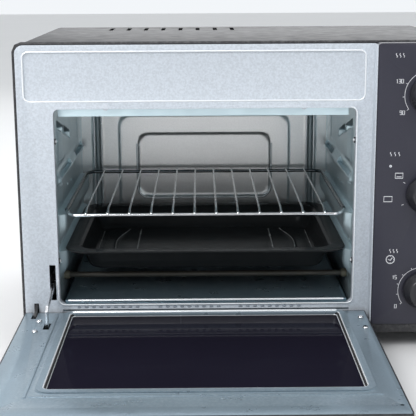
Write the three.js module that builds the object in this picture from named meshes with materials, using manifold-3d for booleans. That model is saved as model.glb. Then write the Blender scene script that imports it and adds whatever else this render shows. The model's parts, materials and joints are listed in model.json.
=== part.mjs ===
// Countertop toaster oven with a drop-down glass door, a wire rack, an enamelled
// baking tray, a crumb tray, tubular heating elements and three rotary controls.
// Millimetres, +Z up, the door faces -Y and stands open.  Working origin: centre
// of the oven opening's lower edge, on the front sheet.  The finished assembly is
// moved so that its bounding box stands centred on the origin.
import * as THREE from 'three';
import { mergeVertices } from 'three/addons/utils/BufferGeometryUtils.js';
import Module from 'manifold-3d';

const wasm = await Module();
wasm.setup();

// Driving dimensions.
const OPENING_WIDTH = 320;
const OPENING_HEIGHT = 215;
const OPENING_RADIUS = 6;
const CAVITY_DEPTH = 273;
const FRAME_LEFT_MARGIN = 38;
const FRAME_RIGHT_MARGIN = 18;
const FRAME_TOP_MARGIN = 67;
const FASCIA_WIDTH = 107;
const FASCIA_DEPTH = 20;
const REAR_SPACE = 45;
const BASE_DROP = 28;
const DOOR_HEIGHT = 276;
const DOOR_THICKNESS = 15;
const RACK_LEVEL = 98;
const TRAY_LEVEL = 57;
const TRAY_DEPTH = 27;
const RUNNER_REACH = 10.8;
const ELEMENT_RADIUS = 3.25;
const CONTROL_PITCH = 105;
const KNOB_RADIUS = 20;
const SHAFT_RADIUS = 3;
const HANDLE_LENGTH = 290;
const HANDLE_STANDOFF = 22;

// Sheet thickness and named clearances.
const SHEET = 1;
const GAP = 0.3;
const SEAM = 1.3;
const SHELF_PLAY = 5;
const PIN_PLAY = 0.4;
const DOOR_GAP = 3;
const TABLE_CLEARANCE = 3.5;

// Derived positions of the front.
const halfOpening = OPENING_WIDTH / 2;
const frameLeft = -halfOpening - FRAME_LEFT_MARGIN;
const frameRight = halfOpening + FRAME_RIGHT_MARGIN;
const frameTop = OPENING_HEIGHT + FRAME_TOP_MARGIN;
const frameBottom = -BASE_DROP + SHEET + GAP;
const fasciaLeft = frameRight + GAP;
const fasciaRight = frameRight + FASCIA_WIDTH;
const fasciaBottom = frameBottom + 8;
const casingLeft = frameLeft - GAP - SHEET;
const casingTop = frameTop + GAP + SHEET;
const bodyBack = CAVITY_DEPTH + REAR_SPACE;

// Derived positions of the cavity lining.
const wallInner = halfOpening + SEAM;
const wallOuter = wallInner + SHEET;
const wallFront = 2.8;
const floorTop = -6.6;
const ceilingBottom = OPENING_HEIGHT + 9;
const runnerInner = wallInner - RUNNER_REACH;
const shelfHalf = halfOpening - SHELF_PLAY;

// Derived positions of the door, open: its inner face looks up.
const doorLeft = frameLeft;
const doorRight = frameRight - 4;
const doorFace = -7.5;
const doorOuter = doorFace - DOOR_THICKNESS;
const doorNear = -4.5;
const doorFar = doorNear - DOOR_HEIGHT;
const hingeY = -9;
const hingeZ = hingeY + doorFace + DOOR_GAP;
const doorMiddle = (doorLeft + doorRight) / 2;
const tableZ = doorOuter - HANDLE_STANDOFF - TABLE_CLEARANCE;

// Derived positions of the hinge tab and of the link, on the left.
const tabX0 = frameLeft + 10.8;
const tabX1 = tabX0 + 3;
const linkX0 = -halfOpening - 8.6;
const linkX1 = linkX0 + 3;
const springX = linkX0 - 10.4;

// Derived positions of the elements and of the controls.
const lowerElementZ = 16;
const upperElementZ = ceilingBottom - 10;
const frontElementY = 63;
const bushHole = ELEMENT_RADIUS + 1.15;
const rearElementY = CAVITY_DEPTH - 73;
const controlX = (frameRight + fasciaRight) / 2;
const controlMiddleZ = 125;
const controls = {
  timer: controlMiddleZ - CONTROL_PITCH,
  function: controlMiddleZ,
  temperature: controlMiddleZ + CONTROL_PITCH,
};

// Geometry helpers.
function toSolid(geometry) {
  const bare = geometry.clone();
  bare.deleteAttribute('normal');
  bare.deleteAttribute('uv');
  const merged = mergeVertices(bare, 1e-4);
  return new wasm.Manifold(new wasm.Mesh({
    numProp: 3,
    vertProperties: new Float32Array(merged.attributes.position.array),
    triVerts: new Uint32Array(merged.index.array),
  }));
}

function block(x0, x1, y0, y1, z0, z1) {
  const geometry = new THREE.BoxGeometry(x1 - x0, y1 - y0, z1 - z0);
  return toSolid(geometry.translate((x0 + x1) / 2, (y0 + y1) / 2, (z0 + z1) / 2));
}

function sideBlock(side, a, b, y0, y1, z0, z1) {
  return block(Math.min(side * a, side * b), Math.max(side * a, side * b), y0, y1, z0, z1);
}

function loop(a0, a1, b0, b1, radius, steps = 4) {
  const points = [];
  const corners = [
    [a1 - radius, b0 + radius, -90],
    [a1 - radius, b1 - radius, 0],
    [a0 + radius, b1 - radius, 90],
    [a0 + radius, b0 + radius, 180],
  ];
  for (const [a, b, start] of corners) {
    for (let i = 0; i <= steps; i += 1) {
      const angle = THREE.MathUtils.degToRad(start + (90 * i) / steps);
      points.push(new THREE.Vector2(a + radius * Math.cos(angle), b + radius * Math.sin(angle)));
    }
  }
  return points;
}

function rounded(a0, a1, b0, b1, radius, steps = 4) {
  return new THREE.Shape(loop(a0, a1, b0, b1, radius, steps));
}

// A solid between two level convex loops with the same number of points.
function loft(low, z0, high, z1) {
  const count = low.length;
  const positions = [];
  const index = [];
  for (const point of low) {
    positions.push(point.x, point.y, z0);
  }
  for (const point of high) {
    positions.push(point.x, point.y, z1);
  }
  for (let i = 0; i < count; i += 1) {
    const next = (i + 1) % count;
    index.push(i, next, count + next, i, count + next, count + i);
  }
  for (let i = 1; i < count - 1; i += 1) {
    index.push(0, i + 1, i, count, count + i, count + i + 1);
  }
  const geometry = new THREE.BufferGeometry();
  geometry.setAttribute('position', new THREE.Float32BufferAttribute(positions, 3));
  geometry.setIndex(index);
  return toSolid(geometry);
}

function polygon(pairs) {
  return new THREE.Shape(pairs.map(([a, b]) => new THREE.Vector2(a, b)));
}

function extrude(shape, length) {
  return new THREE.ExtrudeGeometry(shape, { depth: length, bevelEnabled: false, steps: 1 });
}

// A profile drawn in (x, y), run along z.
function alongZ(shape, z0, z1) {
  return toSolid(extrude(shape, z1 - z0).translate(0, 0, z0));
}

// A profile drawn in (x, z), run along y.
function alongY(shape, y0, y1) {
  return toSolid(extrude(shape, y1 - y0).rotateX(Math.PI / 2).translate(0, y1, 0));
}

// A profile drawn in (y, z), run along x.
function alongX(shape, x0, x1) {
  const turn = new THREE.Matrix4().makeBasis(
    new THREE.Vector3(0, 1, 0),
    new THREE.Vector3(0, 0, 1),
    new THREE.Vector3(1, 0, 0),
  );
  return toSolid(extrude(shape, x1 - x0).applyMatrix4(turn).translate(x0, 0, 0));
}

function rodX(x0, x1, y, z, radius, sides = 16) {
  const geometry = new THREE.CylinderGeometry(radius, radius, x1 - x0, sides);
  return toSolid(geometry.rotateZ(-Math.PI / 2).translate((x0 + x1) / 2, y, z));
}

function rodY(y0, y1, x, z, radius, sides = 16) {
  const geometry = new THREE.CylinderGeometry(radius, radius, y1 - y0, sides);
  return toSolid(geometry.translate(x, (y0 + y1) / 2, z));
}

function rodZ(z0, z1, x, y, radius, sides = 16, topRadius = radius) {
  const geometry = new THREE.CylinderGeometry(topRadius, radius, z1 - z0, sides);
  return toSolid(geometry.rotateX(Math.PI / 2).translate(x, y, (z0 + z1) / 2));
}

// A solid of revolution about the y direction through (x, z); the profile is a
// closed loop of [radius, distance in front of y].
function turnedY(profile, x, y, z, sides = 32) {
  const points = [...profile, profile[0]].map(([r, d]) => new THREE.Vector2(r, d));
  const geometry = new THREE.LatheGeometry(points, sides);
  const solid = toSolid(geometry.rotateZ(Math.PI).translate(x, y, z));
  return solid;
}

function union(solids) {
  let result = solids[0];
  for (const solid of solids.slice(1)) {
    result = result.add(solid);
  }
  return result;
}

function cut(solid, tools) {
  let result = solid;
  for (const tool of tools) {
    result = result.subtract(tool);
  }
  return result;
}

// A quarter of a ring that joins two wires lying at one level.
function wireBend(x, y, z, bendRadius, wireRadius, signX, signY) {
  const ring = toSolid(new THREE.TorusGeometry(bendRadius, wireRadius, 8, 24).translate(x, y, z));
  const reach = bendRadius + wireRadius + 1;
  const x0 = signX > 0 ? x : x - reach;
  const y0 = signY > 0 ? y : y - reach;
  return ring.intersect(block(x0, x0 + reach, y0, y0 + reach, z - reach, z + reach));
}

const parts = [];

function addPart(name, solid, colour, roughness, metalness) {
  parts.push({ name, solid, colour, roughness, metalness });
}

// Front sheet with the oven opening, its rolled lip, the pressed header, the
// dimpled sill, the apron behind the door's near edge and the return that carries
// the control fascia.
function frontFrame() {
  const body = alongY(rounded(frameLeft, frameRight, frameBottom, frameTop, 3), 0, SHEET);
  const header = alongY(
    rounded(frameLeft + 7, frameRight - 8.5, OPENING_HEIGHT + 7.5, frameTop - 6.5, 7),
    0.2,
    SHEET + 1.5,
  );
  const lip = alongY(
    rounded(-halfOpening - 2.4, halfOpening + 2.4, 0, OPENING_HEIGHT + 2.4, OPENING_RADIUS + 2),
    -0.7,
    0.5,
  );
  const lipCrown = alongY(
    rounded(-halfOpening - 1.5, halfOpening + 1.5, 0, OPENING_HEIGHT + 1.5, OPENING_RADIUS + 1),
    -1.2,
    0,
  );
  const collar = alongY(
    rounded(-halfOpening - SHEET, halfOpening + SHEET, 0, OPENING_HEIGHT + SHEET, OPENING_RADIUS + 1),
    0.5,
    8,
  );
  const sill = block(-halfOpening - SHEET, halfOpening + SHEET, 0, 6, -5.6, 0.5);
  const apronTop = floorTop - SHEET - GAP;
  const apron = [
    block(-halfOpening - 0.5, halfOpening + 0.5, 2, 2 + SHEET, -18.4, apronTop),
    sideBlock(-1, halfOpening - 2, halfOpening + 0.5, 0.2, 2 + SHEET, -18.4, apronTop),
    sideBlock(1, halfOpening - 2, halfOpening + 0.5, 0.2, 2 + SHEET, -18.4, apronTop),
  ];
  const flanges = [
    block(frameLeft, frameLeft + SHEET, 0.2, 12, frameBottom + 3, frameTop - 6),
    block(frameLeft + 6, frameRight, 0.2, 12, frameTop - SHEET, frameTop),
    block(frameRight - SHEET, frameRight, -FASCIA_DEPTH + GAP, 0.5, frameBottom, frameTop),
  ];
  const opening = alongY(
    rounded(-halfOpening, halfOpening, 0, OPENING_HEIGHT, OPENING_RADIUS),
    -5,
    20,
  );
  const tools = [
    opening,
    alongY(
      rounded(frameLeft + 8, frameRight - 9.5, OPENING_HEIGHT + 8.5, frameTop - 7.5, 6),
      -1,
      SHEET + 0.5,
    ),
    block(-halfOpening + 3, halfOpening - 3, -1, 1.5, frameBottom - 1, -5.6),
    block(linkX0 - 1.7, linkX1 + 2.1, -1, 3, 5, 45),
    block(tabX0 - 1.2, tabX1 + 1, -1, 3, -10, 1.5),
    rodX(frameRight - 2, frameRight + 1, hingeY, hingeZ, 2 + PIN_PLAY),
  ];
  for (const [start, count] of [[-139, 9], [-50, 9], [38, 9]]) {
    for (let i = 0; i < count; i += 1) {
      const x = start + i * 8;
      tools.push(alongY(rounded(x - 2.3, x + 2.3, -4.5, -1.9, 1.2, 2), -1, 0.8));
    }
  }
  const dimples = [];
  for (const side of [-1, 1]) {
    for (const z of [48, 180]) {
      const x = side * (halfOpening + 0.4);
      dimples.push(rodX(x - 0.7, x + 0.7, 4, z, 2.6, 10));
    }
  }
  for (const side of [-1, 1]) {
    dimples.push(rodY(-0.9, 5, side * (halfOpening - 55.5), OPENING_HEIGHT + 2.4, 4, 12));
  }
  const pressed = union([body, header, lip, lipCrown, collar, sill, ...apron, ...flanges]);
  const outline = alongY(rounded(frameLeft, fasciaRight, -100, frameTop, 8.7), -40, 40);
  return union([cut(pressed.intersect(outline), tools), ...dimples]);
}

// Side of the cavity lining: pressed runners for the rack and the tray, an upper
// slotted ridge, vent slots and the holes that the elements pass through.
function sideWall(side) {
  const sheet = sideBlock(
    side, wallInner, wallOuter, wallFront, CAVITY_DEPTH, floorTop - SHEET, ceilingBottom,
  );
  const runnerEnd = CAVITY_DEPTH - 13;
  const runners = [];
  const hollows = [];
  for (const top of [RACK_LEVEL - GAP, TRAY_LEVEL - GAP]) {
    runners.push(sideBlock(side, runnerInner, wallOuter, 14, runnerEnd, top - 5, top));
    hollows.push(sideBlock(
      side, runnerInner + SHEET, wallOuter + 1, 15, runnerEnd - 1, top - 4, top - SHEET,
    ));
  }
  const ridge = alongY(
    polygon(side > 0
      ? [[wallInner + 0.5, 145], [wallInner - 4.5, 132], [wallInner - 4.5, 130], [wallInner + 0.5, 127]]
      : [[-wallInner - 0.5, 127], [-wallInner + 4.5, 130], [-wallInner + 4.5, 132],
        [-wallInner - 0.5, 145]]),
    28,
    runnerEnd + 2,
  );
  const tools = [...hollows];
  const throughLow = Math.min(side * (wallInner - 3), side * (wallOuter + 4));
  const throughHigh = Math.max(side * (wallInner - 3), side * (wallOuter + 4));
  for (const [y0, y1] of [[34, CAVITY_DEPTH - 143], [CAVITY_DEPTH - 93, CAVITY_DEPTH - 17]]) {
    tools.push(sideBlock(side, wallInner - 5, wallOuter + 1, y0, y1, 134, 141));
  }
  for (const [y0, z0] of [[38, 190], [97, 176]]) {
    const slot = polygon([[y0, z0 + 4], [y0 + 14, z0 + 8], [y0 + 58, z0 - 6], [y0 + 46, z0 - 10]]);
    tools.push(alongX(slot, throughLow, throughHigh));
  }
  for (const y of [frontElementY, rearElementY]) {
    for (const z of [lowerElementZ, upperElementZ]) {
      tools.push(rodX(throughLow, throughHigh, y, z, bushHole, 12));
    }
  }
  return cut(union([sheet, ...runners, ridge]), tools);
}

function ceiling() {
  const sheet = block(
    -wallInner + GAP, wallInner - GAP, 10, CAVITY_DEPTH - GAP, ceilingBottom - SHEET, ceilingBottom,
  );
  const strip = block(-wallInner + 5, wallInner - 8, 9.5, 10.5, 206, ceilingBottom);
  const ribs = [];
  for (const y of [110, 150]) {
    ribs.push(block(-120, 120, y, y + 12, ceilingBottom - 0.5, ceilingBottom + 2));
  }
  return union([sheet, strip, ...ribs]);
}

function cavityBack() {
  const y = CAVITY_DEPTH + GAP;
  const sheet = block(-wallOuter, wallOuter, y, y + SHEET, floorTop - SHEET, ceilingBottom);
  const outerHalf = halfOpening - 48;
  const innerHalf = outerHalf - 24.5;
  const outer = alongY(rounded(-outerHalf, outerHalf, 38, 171, 14), y - 1.6, y + 0.5);
  const inner = alongY(rounded(-innerHalf, innerHalf, 62, 147.7, 14), y - 3.2, y + 0.5);
  const beads = [];
  for (const side of [-1, 1]) {
    const beadX = halfOpening - 16.5;
    beads.push(sideBlock(side, beadX, beadX + 3, y - 2.5, y + 0.5, 2, OPENING_HEIGHT + 1));
    beads.push(sideBlock(side, beadX - 10.5, beadX - 7.5, y - 1, y + 0.5, 2, OPENING_HEIGHT + 1));
  }
  const lower = block(-128, 128, y - 1, y + 0.5, 8, 20);
  return union([sheet, outer, inner, lower, ...beads]);
}

function cavityFloor() {
  const sheet = block(
    -wallInner + GAP, wallInner - GAP, SEAM, CAVITY_DEPTH, floorTop - SHEET, floorTop,
  );
  const ribs = [];
  for (const x of [-100, 0, 100]) {
    ribs.push(alongZ(rounded(x - 6, x + 6, 40, CAVITY_DEPTH - 33, 5), floorTop - 0.5, floorTop + 1.6));
  }
  return union([sheet, ...ribs]);
}

// Place of the cord outlet on the back.
const glandX = fasciaRight - 40;

// Wrap of painted sheet over both sides and the top, with side and top louvres.
function outerCasing() {
  const y0 = 0.5;
  const outside = rounded(casingLeft, fasciaRight, -60, casingTop, 10);
  const inside = rounded(casingLeft + SHEET, fasciaRight - SHEET, -61, casingTop - SHEET, 9);
  const shell = cut(alongY(outside, y0, bodyBack), [
    alongY(inside, y0 - 1, bodyBack + 1),
    block(casingLeft - 1, fasciaRight + 1, -1, bodyBack + 1, -70, -BASE_DROP + SHEET + GAP),
  ]);
  const slots = [];
  for (let i = 0; i < 7; i += 1) {
    const z = 40 + i * 12;
    slots.push(block(casingLeft - 2, casingLeft + 3, bodyBack - 113, bodyBack - 33, z, z + 4));
    slots.push(block(fasciaRight - 3, fasciaRight + 2, bodyBack - 113, bodyBack - 33, z, z + 4));
  }
  for (let i = 0; i < 8; i += 1) {
    const x = -120 + i * 22;
    slots.push(block(x, x + 5, bodyBack - 78, bodyBack - 26, casingTop - 3, casingTop + 2));
  }
  return cut(shell, slots);
}

function backCover() {
  const y = bodyBack - 2;
  const shape = rounded(
    casingLeft + SHEET + GAP, fasciaRight - SHEET - GAP, -BASE_DROP + 7, casingTop - SHEET - GAP, 8.7,
  );
  const sheet = alongY(shape, y - SHEET, y);
  const left = casingLeft + 59;
  const right = fasciaRight - 135;
  const bulge = alongY(rounded(left, right, 40, frameTop - 32, 16), y - 0.5, y + 4);
  const hollow = alongY(rounded(left + 1, right - 1, 41, frameTop - 33, 15), y - 2, y + 3);
  const tools = [hollow];
  for (let column = 0; column < 2; column += 1) {
    for (let row = 0; row < 8; row += 1) {
      const x = left + 30 + column * 130;
      const z = 62 + row * 22;
      tools.push(block(x, x + 100, y - 3, y + 6, z, z + 5));
    }
  }
  tools.push(rodY(y - 3, y + 6, glandX, 10, 7 + PIN_PLAY));
  return cut(union([sheet, bulge]), tools);
}

function basePlate() {
  const left = casingLeft;
  const z = -BASE_DROP;
  const pan = union([
    block(left, fasciaRight, 1, bodyBack, z, z + SHEET),
    block(fasciaLeft, fasciaRight, -FASCIA_DEPTH + 2, 2, z, z + SHEET),
    block(fasciaLeft, fasciaRight, -FASCIA_DEPTH + 2, -FASCIA_DEPTH + 3, z, fasciaBottom - GAP),
    block(fasciaRight - SHEET, fasciaRight, -FASCIA_DEPTH + 2, -0.5, z, fasciaBottom - GAP),
    block(left + 3, fasciaRight - 3, bodyBack - SHEET, bodyBack, z, z + 6),
  ]);
  const tools = [];
  for (let i = 0; i < 9; i += 1) {
    tools.push(block(-90 + i * 22, -84 + i * 22, 110, 220, z - 1, z + 2));
  }
  for (const [x, y] of footPlaces()) {
    tools.push(rodZ(z - 1, z + 2, x, y, 4 + PIN_PLAY, 12));
  }
  return cut(pan, tools);
}

function footPlaces() {
  return [
    [frameLeft + 30, 32],
    [fasciaRight - 30, 32],
    [frameLeft + 30, bodyBack - 32],
    [fasciaRight - 30, bodyBack - 32],
  ];
}

function foot(x, y) {
  const top = -BASE_DROP - GAP;
  return union([
    rodZ(tableZ, top, x, y, 12, 16, 14.5),
    rodZ(top - 1, -BASE_DROP + 3, x, y, 4, 12),
    rodZ(-BASE_DROP + SHEET + GAP, -BASE_DROP + 4, x, y, 5.2, 12),
  ]);
}

// Moulded control panel: an open-backed shell with a hole for each shaft.
function controlFascia() {
  const front = -FASCIA_DEPTH;
  const shell = alongY(rounded(fasciaLeft, fasciaRight, fasciaBottom, casingTop, 4), front + 1, 0.2);
  const face = alongY(
    rounded(fasciaLeft + 1, fasciaRight - 1, fasciaBottom + 1, casingTop - 1, 4),
    front,
    front + 2,
  );
  const hollow = alongY(
    rounded(fasciaLeft + 2.5, fasciaRight - 2.5, fasciaBottom + 2.5, casingTop - 2.5, 3),
    front + 2.5,
    1,
  );
  const tools = [hollow, rodY(front - 1, front + 4, controlX, casingTop - 14, 3.5 + GAP, 12)];
  for (const z of Object.values(controls)) {
    tools.push(rodY(front - 1, front + 4, controlX, z, SHAFT_RADIUS + 1.5));
  }
  const outline = alongY(rounded(casingLeft, fasciaRight, -100, casingTop, 10), -40, 10);
  return cut(union([shell, face]).intersect(outline), tools);
}

function lampLens() {
  const front = -FASCIA_DEPTH;
  return union([
    rodY(front - 1.2, front + 8, controlX, casingTop - 14, 3.5, 12),
    rodY(front + 2.5 + GAP, front + 6, controlX, casingTop - 14, 5, 12),
  ]);
}

// Steel plate behind the fascia that the three controls are fixed to.
function controlBracket() {
  const y = -FASCIA_DEPTH + 9;
  const plate = block(fasciaLeft + 12, fasciaRight - 6, y, y + SHEET, fasciaBottom + 6, casingTop - 24);
  const tools = [];
  for (const z of Object.values(controls)) {
    tools.push(rodY(y - 1, y + 2, controlX, z, SHAFT_RADIUS + 1.5));
  }
  return cut(plate, tools);
}

function shaft(z) {
  const round = rodY(-FASCIA_DEPTH - 14, -FASCIA_DEPTH + 18, controlX, z, SHAFT_RADIUS, 16);
  const flat = block(
    controlX + 1.6, controlX + 9, -FASCIA_DEPTH - 15, -FASCIA_DEPTH - 3, z - 9, z + 9,
  );
  return round.subtract(flat);
}

// Rotary knob: stepped skirt, domed cap, a finger bar and a blind D bore.
function knob(z) {
  const y = -FASCIA_DEPTH - 0.8;
  const body = turnedY([
    [0, 0], [KNOB_RADIUS, 0], [KNOB_RADIUS, 4], [KNOB_RADIUS - 1.5, 6],
    [KNOB_RADIUS - 4, 12], [KNOB_RADIUS - 5.5, 13.5], [0, 13.5],
  ], controlX, y, z, 28);
  const grip = alongY(rounded(controlX - 4.5, controlX + 4.5, z - 16, z + 16, 4), y - 22, y - 12);
  const pointer = block(controlX - 0.9, controlX + 0.9, y - 22.6, y - 20, z + 3, z + 15);
  const bore = rodY(y - 14, y + 1, controlX, z, SHAFT_RADIUS + GAP, 16);
  const flat = block(controlX + 1.6 + GAP, controlX + 9, y - 15, y - 3, z - 9, z + 9);
  return union([body, grip, pointer]).subtract(bore.subtract(flat));
}

// Control bodies: each turns on its own shaft behind the bracket.
const controlBack = -FASCIA_DEPTH + 10 + GAP;

function shaftBore(z) {
  return rodY(controlBack - 1, -FASCIA_DEPTH + 19, controlX, z, SHAFT_RADIUS + PIN_PLAY);
}

function thermostat() {
  const z = controls.temperature;
  const base = block(controlX - 17, controlX + 17, controlBack, controlBack + 22, z - 20, z + 20);
  const terminals = [-9, 9].map((x) => (
    block(controlX + x - 3, controlX + x + 3, controlBack + 21, controlBack + 34, z - 10, z - 9)
  ));
  return union([base, ...terminals]).subtract(shaftBore(z));
}

function functionSwitch() {
  const z = controls.function;
  const base = block(controlX - 16, controlX + 16, controlBack, controlBack + 34, z - 16, z + 16);
  const terminals = [];
  for (const x of [-10, 0, 10]) {
    for (const low of [z - 9, z + 8]) {
      const left = controlX + x - 3;
      terminals.push(block(left, left + 6, controlBack + 33, controlBack + 44, low, low + 1));
    }
  }
  return union([base, ...terminals]).subtract(shaftBore(z));
}

function timerUnit() {
  const z = controls.timer;
  const base = rodY(controlBack, controlBack + 38, controlX, z, 27, 24);
  const post = rodY(controlBack + 37, controlBack + 46, controlX, z, 2.5, 12);
  return union([base, post]).subtract(shaftBore(z));
}

function timerBell() {
  const y = controlBack + 54;
  const bell = turnedY([
    [0, 0], [8, 1], [17, 5], [21, 12], [20, 12], [16.4, 6], [7.8, 2], [0, 1],
  ], controlX, y, controls.timer, 24);
  return bell;
}

// Tubular heating element with a stud at each end.
function element(y, z) {
  return union([
    rodX(-wallOuter - 9, wallOuter + 9, y, z, ELEMENT_RADIUS, 12),
    rodX(-wallOuter - 16, wallOuter + 16, y, z, 1.6, 8),
  ]);
}

// Flanged ceramic bush that carries an element's end in the side wall.
function elementBush(side, y, z) {
  const a = side * (wallInner - 5.2);
  const b = side * (wallOuter + 6);
  const neck = rodX(Math.min(a, b), Math.max(a, b), y, z, bushHole - GAP, 12);
  const c = side * (wallOuter + GAP);
  const collar = rodX(Math.min(b, c), Math.max(b, c), y, z, 7, 12);
  const bore = rodX(-wallOuter - 30, wallOuter + 30, y, z, ELEMENT_RADIUS + GAP, 12);
  return neck.add(collar).subtract(bore);
}

function heatShield() {
  const x = wallOuter + 9.5;
  const sheet = block(x + 8, x + 9, 14, bodyBack - 8, -BASE_DROP + 3, ceilingBottom + 30);
  const lug = block(x + 8, x + 18, 14, 15, 100, 160);
  const slots = [];
  for (let i = 0; i < 6; i += 1) {
    slots.push(block(x + 7, x + 10, bodyBack - 93, bodyBack - 28, 60 + i * 16, 66 + i * 16));
  }
  return cut(union([sheet, lug]), slots);
}

function thermostatBulb() {
  return union([
    rodY(88, 158, wallOuter + 5.7, 188, 2.5, 10),
    rodY(157, 178, wallOuter + 5.7, 188, 1, 8),
  ]);
}

function terminalBlock() {
  const x = fasciaRight - 55;
  const y = bodyBack - 86;
  const base = block(x, x + 40, y, y + 22, -BASE_DROP + 2, -BASE_DROP + 18);
  const cells = [4, 17, 30].map((dx) => (
    block(x + dx, x + dx + 7, y - 1, y + 4, -BASE_DROP + 9, -BASE_DROP + 30)
  ));
  return cut(base, cells);
}

function cordGland() {
  const y = bodyBack - 2;
  const x = glandX;
  const body = union([
    rodY(y - 10, y + 12, x, 10, 7, 16),
    rodY(y + GAP, y + 4, x, 10, 10.5, 16),
    rodY(y - 5, y - SHEET - GAP, x, 10, 9.5, 16),
  ]);
  return body.subtract(rodY(y - 11, y + 13, x, 10, 3.8, 12));
}

// Hinge tab: passes through the sheet's lower slot and carries the left pin.
function hingeBracket() {
  const x0 = tabX0;
  const x1 = tabX1;
  const arm = alongX(polygon([
    [3.4, -9], [3.4, 0.9], [-1.6, 0.6], [hingeY - 3, hingeZ + 5.5], [hingeY - 4.6, hingeZ + 1.5],
    [hingeY - 4.3, hingeZ - 2], [hingeY - 2.2, hingeZ - 4.2], [hingeY + 1.2, hingeZ - 4.4],
    [hingeY + 3.8, hingeZ - 2.4], [hingeY + 6, hingeZ + 4.5],
  ].reverse()), x0, x1);
  const backPlate = block(x0 - 6, x1 + 6, SHEET + GAP, 3.4, -14, 14);
  const bore = rodX(x0 - 1, x1 + 1, hingeY, hingeZ, 2 + PIN_PLAY);
  return union([arm, backPlate]).subtract(bore);
}

function leftHingePin() {
  return union([
    rodX(doorLeft - 0.1, tabX1 + 7.7, hingeY, hingeZ, 2),
    rodX(tabX1 + 0.4, tabX1 + 1.8, hingeY, hingeZ, 3, 12),
  ]);
}

function rightHingePin() {
  return union([
    rodX(doorRight - 5, frameRight, hingeY, hingeZ, 2),
    rodX(doorRight + GAP, frameRight - SHEET - GAP, hingeY, hingeZ, 3, 12),
  ]);
}

// Door, drawn open.  A pressed inner sheet frames the glass; the outer shell is
// folded up around it and carries the handle.
const glassLeft = -halfOpening + 10;
const glassRight = halfOpening - 13;
const glassNear = -13;
const glassFar = -224;
const glassTop = doorFace - 2 - GAP;
const glassBottom = glassTop - 4;
const screwPlaces = [
  [doorRight - 8, -28],
  [doorRight - 8, -61.5],
  [tabX1 + 6, -34],
  [tabX1 + 6, -66],
  [doorRight - 7, doorFar + 20],
  [doorLeft + 18, doorFar + 20],
];

function doorInner() {
  const inset = SHEET + GAP;
  const sheet = alongZ(
    rounded(doorLeft + inset, doorRight - inset, doorFar + inset, doorNear - inset, 2.1),
    doorFace - SHEET,
    doorFace,
  );
  const windowBand = (margin, radius, z0, z1) => alongZ(
    rounded(glassLeft - margin, glassRight + margin, glassFar - margin, glassNear + margin, radius),
    z0,
    z1,
  );
  const bead = windowBand(5, 9, doorFace - 1, doorFace + 0.7);
  const crown = windowBand(3.6, 8, doorFace - 1, doorFace + 1.3);
  const drop = windowBand(1, 6, doorFace - 2, doorFace + 1.3);
  const ridge = block(
    glassLeft - 13, glassLeft - 10, glassFar - 16, glassNear + 1, doorFace - 0.5, doorFace + 0.8,
  );
  const step = block(
    glassLeft - 8, glassRight + 8, glassFar - 14, glassFar - 12, doorFace - 0.5, doorFace + 0.8,
  );
  const ear = block(tabX1 + 3.2, tabX1 + 4.2, -18, -6, hingeZ - 4.6, doorFace - 0.5);
  const tools = [
    alongZ(rounded(glassLeft, glassRight, glassFar, glassNear, 5), doorFace - 6, doorFace + 3),
    block(tabX0 - 1.4, tabX1 + 1, -26, 0, doorFace - 3, doorFace + 2),
    block(linkX0 - 2.4, linkX1 + 1.1, -60, -40, doorFace - 3, doorFace + 2),
    rodX(tabX1 + 1.2, tabX1 + 5.2, hingeY, hingeZ, 2 + PIN_PLAY),
  ];
  for (const [x, y] of screwPlaces) {
    tools.push(rodZ(doorFace - 3, doorFace + 2, x, y, 1.8 + GAP, 12));
  }
  return cut(union([sheet, bead, crown, drop, ridge, step, ear]), tools);
}

function doorGlass() {
  const outline = rounded(glassLeft - 9, glassRight + 9, glassFar - 9, glassNear + 4, 4);
  return alongZ(outline, glassBottom, glassTop);
}

function doorShell() {
  const z0 = doorOuter;
  const outer = alongZ(rounded(doorLeft, doorRight, doorFar, doorNear, 3), z0, doorFace);
  const hollow = alongZ(
    rounded(doorLeft + SHEET, doorRight - SHEET, doorFar + SHEET, doorNear - SHEET, 2.4),
    z0 + 1.2,
    doorFace + 1,
  );
  const windowRim = alongZ(
    rounded(glassLeft - 2, glassRight + 2, glassFar - 2, glassNear + 2, 6),
    z0 + 0.5,
    glassBottom - GAP,
  );
  const bosses = screwPlaces.map(([x, y]) => rodZ(z0 + 0.5, doorFace - SHEET - GAP, x, y, 3.6, 8));
  const handleHoles = handleEnds().map((x) => rodZ(z0 - 1, z0 + 2, x, handleY(), 2.4, 12));
  const tools = [
    alongZ(rounded(glassLeft + 3, glassRight - 3, glassFar + 3, glassNear - 3, 4), z0 - 1, z0 + 9),
    block(tabX0 - 1.8, tabX1 + 1.8, -9, 0, z0 + 1.2, doorFace + 1),
    rodX(doorLeft - 1, doorLeft + 2, hingeY, hingeZ, 2 + PIN_PLAY),
    rodX(doorRight - 2, doorRight + 1, hingeY, hingeZ, 2 + PIN_PLAY),
    ...handleHoles,
  ];
  for (const [x, y] of screwPlaces) {
    tools.push(rodZ(z0 + 4, doorFace, x, y, 1.5 + GAP, 12));
  }
  return cut(union([outer.subtract(hollow), windowRim, ...bosses]), tools);
}

function handleEnds() {
  return [doorMiddle - HANDLE_LENGTH / 2 + 18, doorMiddle + HANDLE_LENGTH / 2 - 18];
}

function handleY() {
  return doorFar + 28;
}

function doorHandle() {
  const y = handleY();
  const z = doorOuter - HANDLE_STANDOFF + 4;
  const bar = alongX(
    rounded(y - 10, y + 10, z - 5, z + 4, 4.2, 4),
    doorMiddle - HANDLE_LENGTH / 2,
    doorMiddle + HANDLE_LENGTH / 2,
  );
  const posts = handleEnds().map((x) => (
    alongZ(rounded(x - 9, x + 9, y - 7, y + 7, 4, 3), z, doorOuter - GAP)
  ));
  const bolts = handleEnds().map((x) => rodZ(z, doorOuter + 3, x, y, 2.4 - GAP, 12));
  return union([bar, ...posts, ...bolts]);
}

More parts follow.
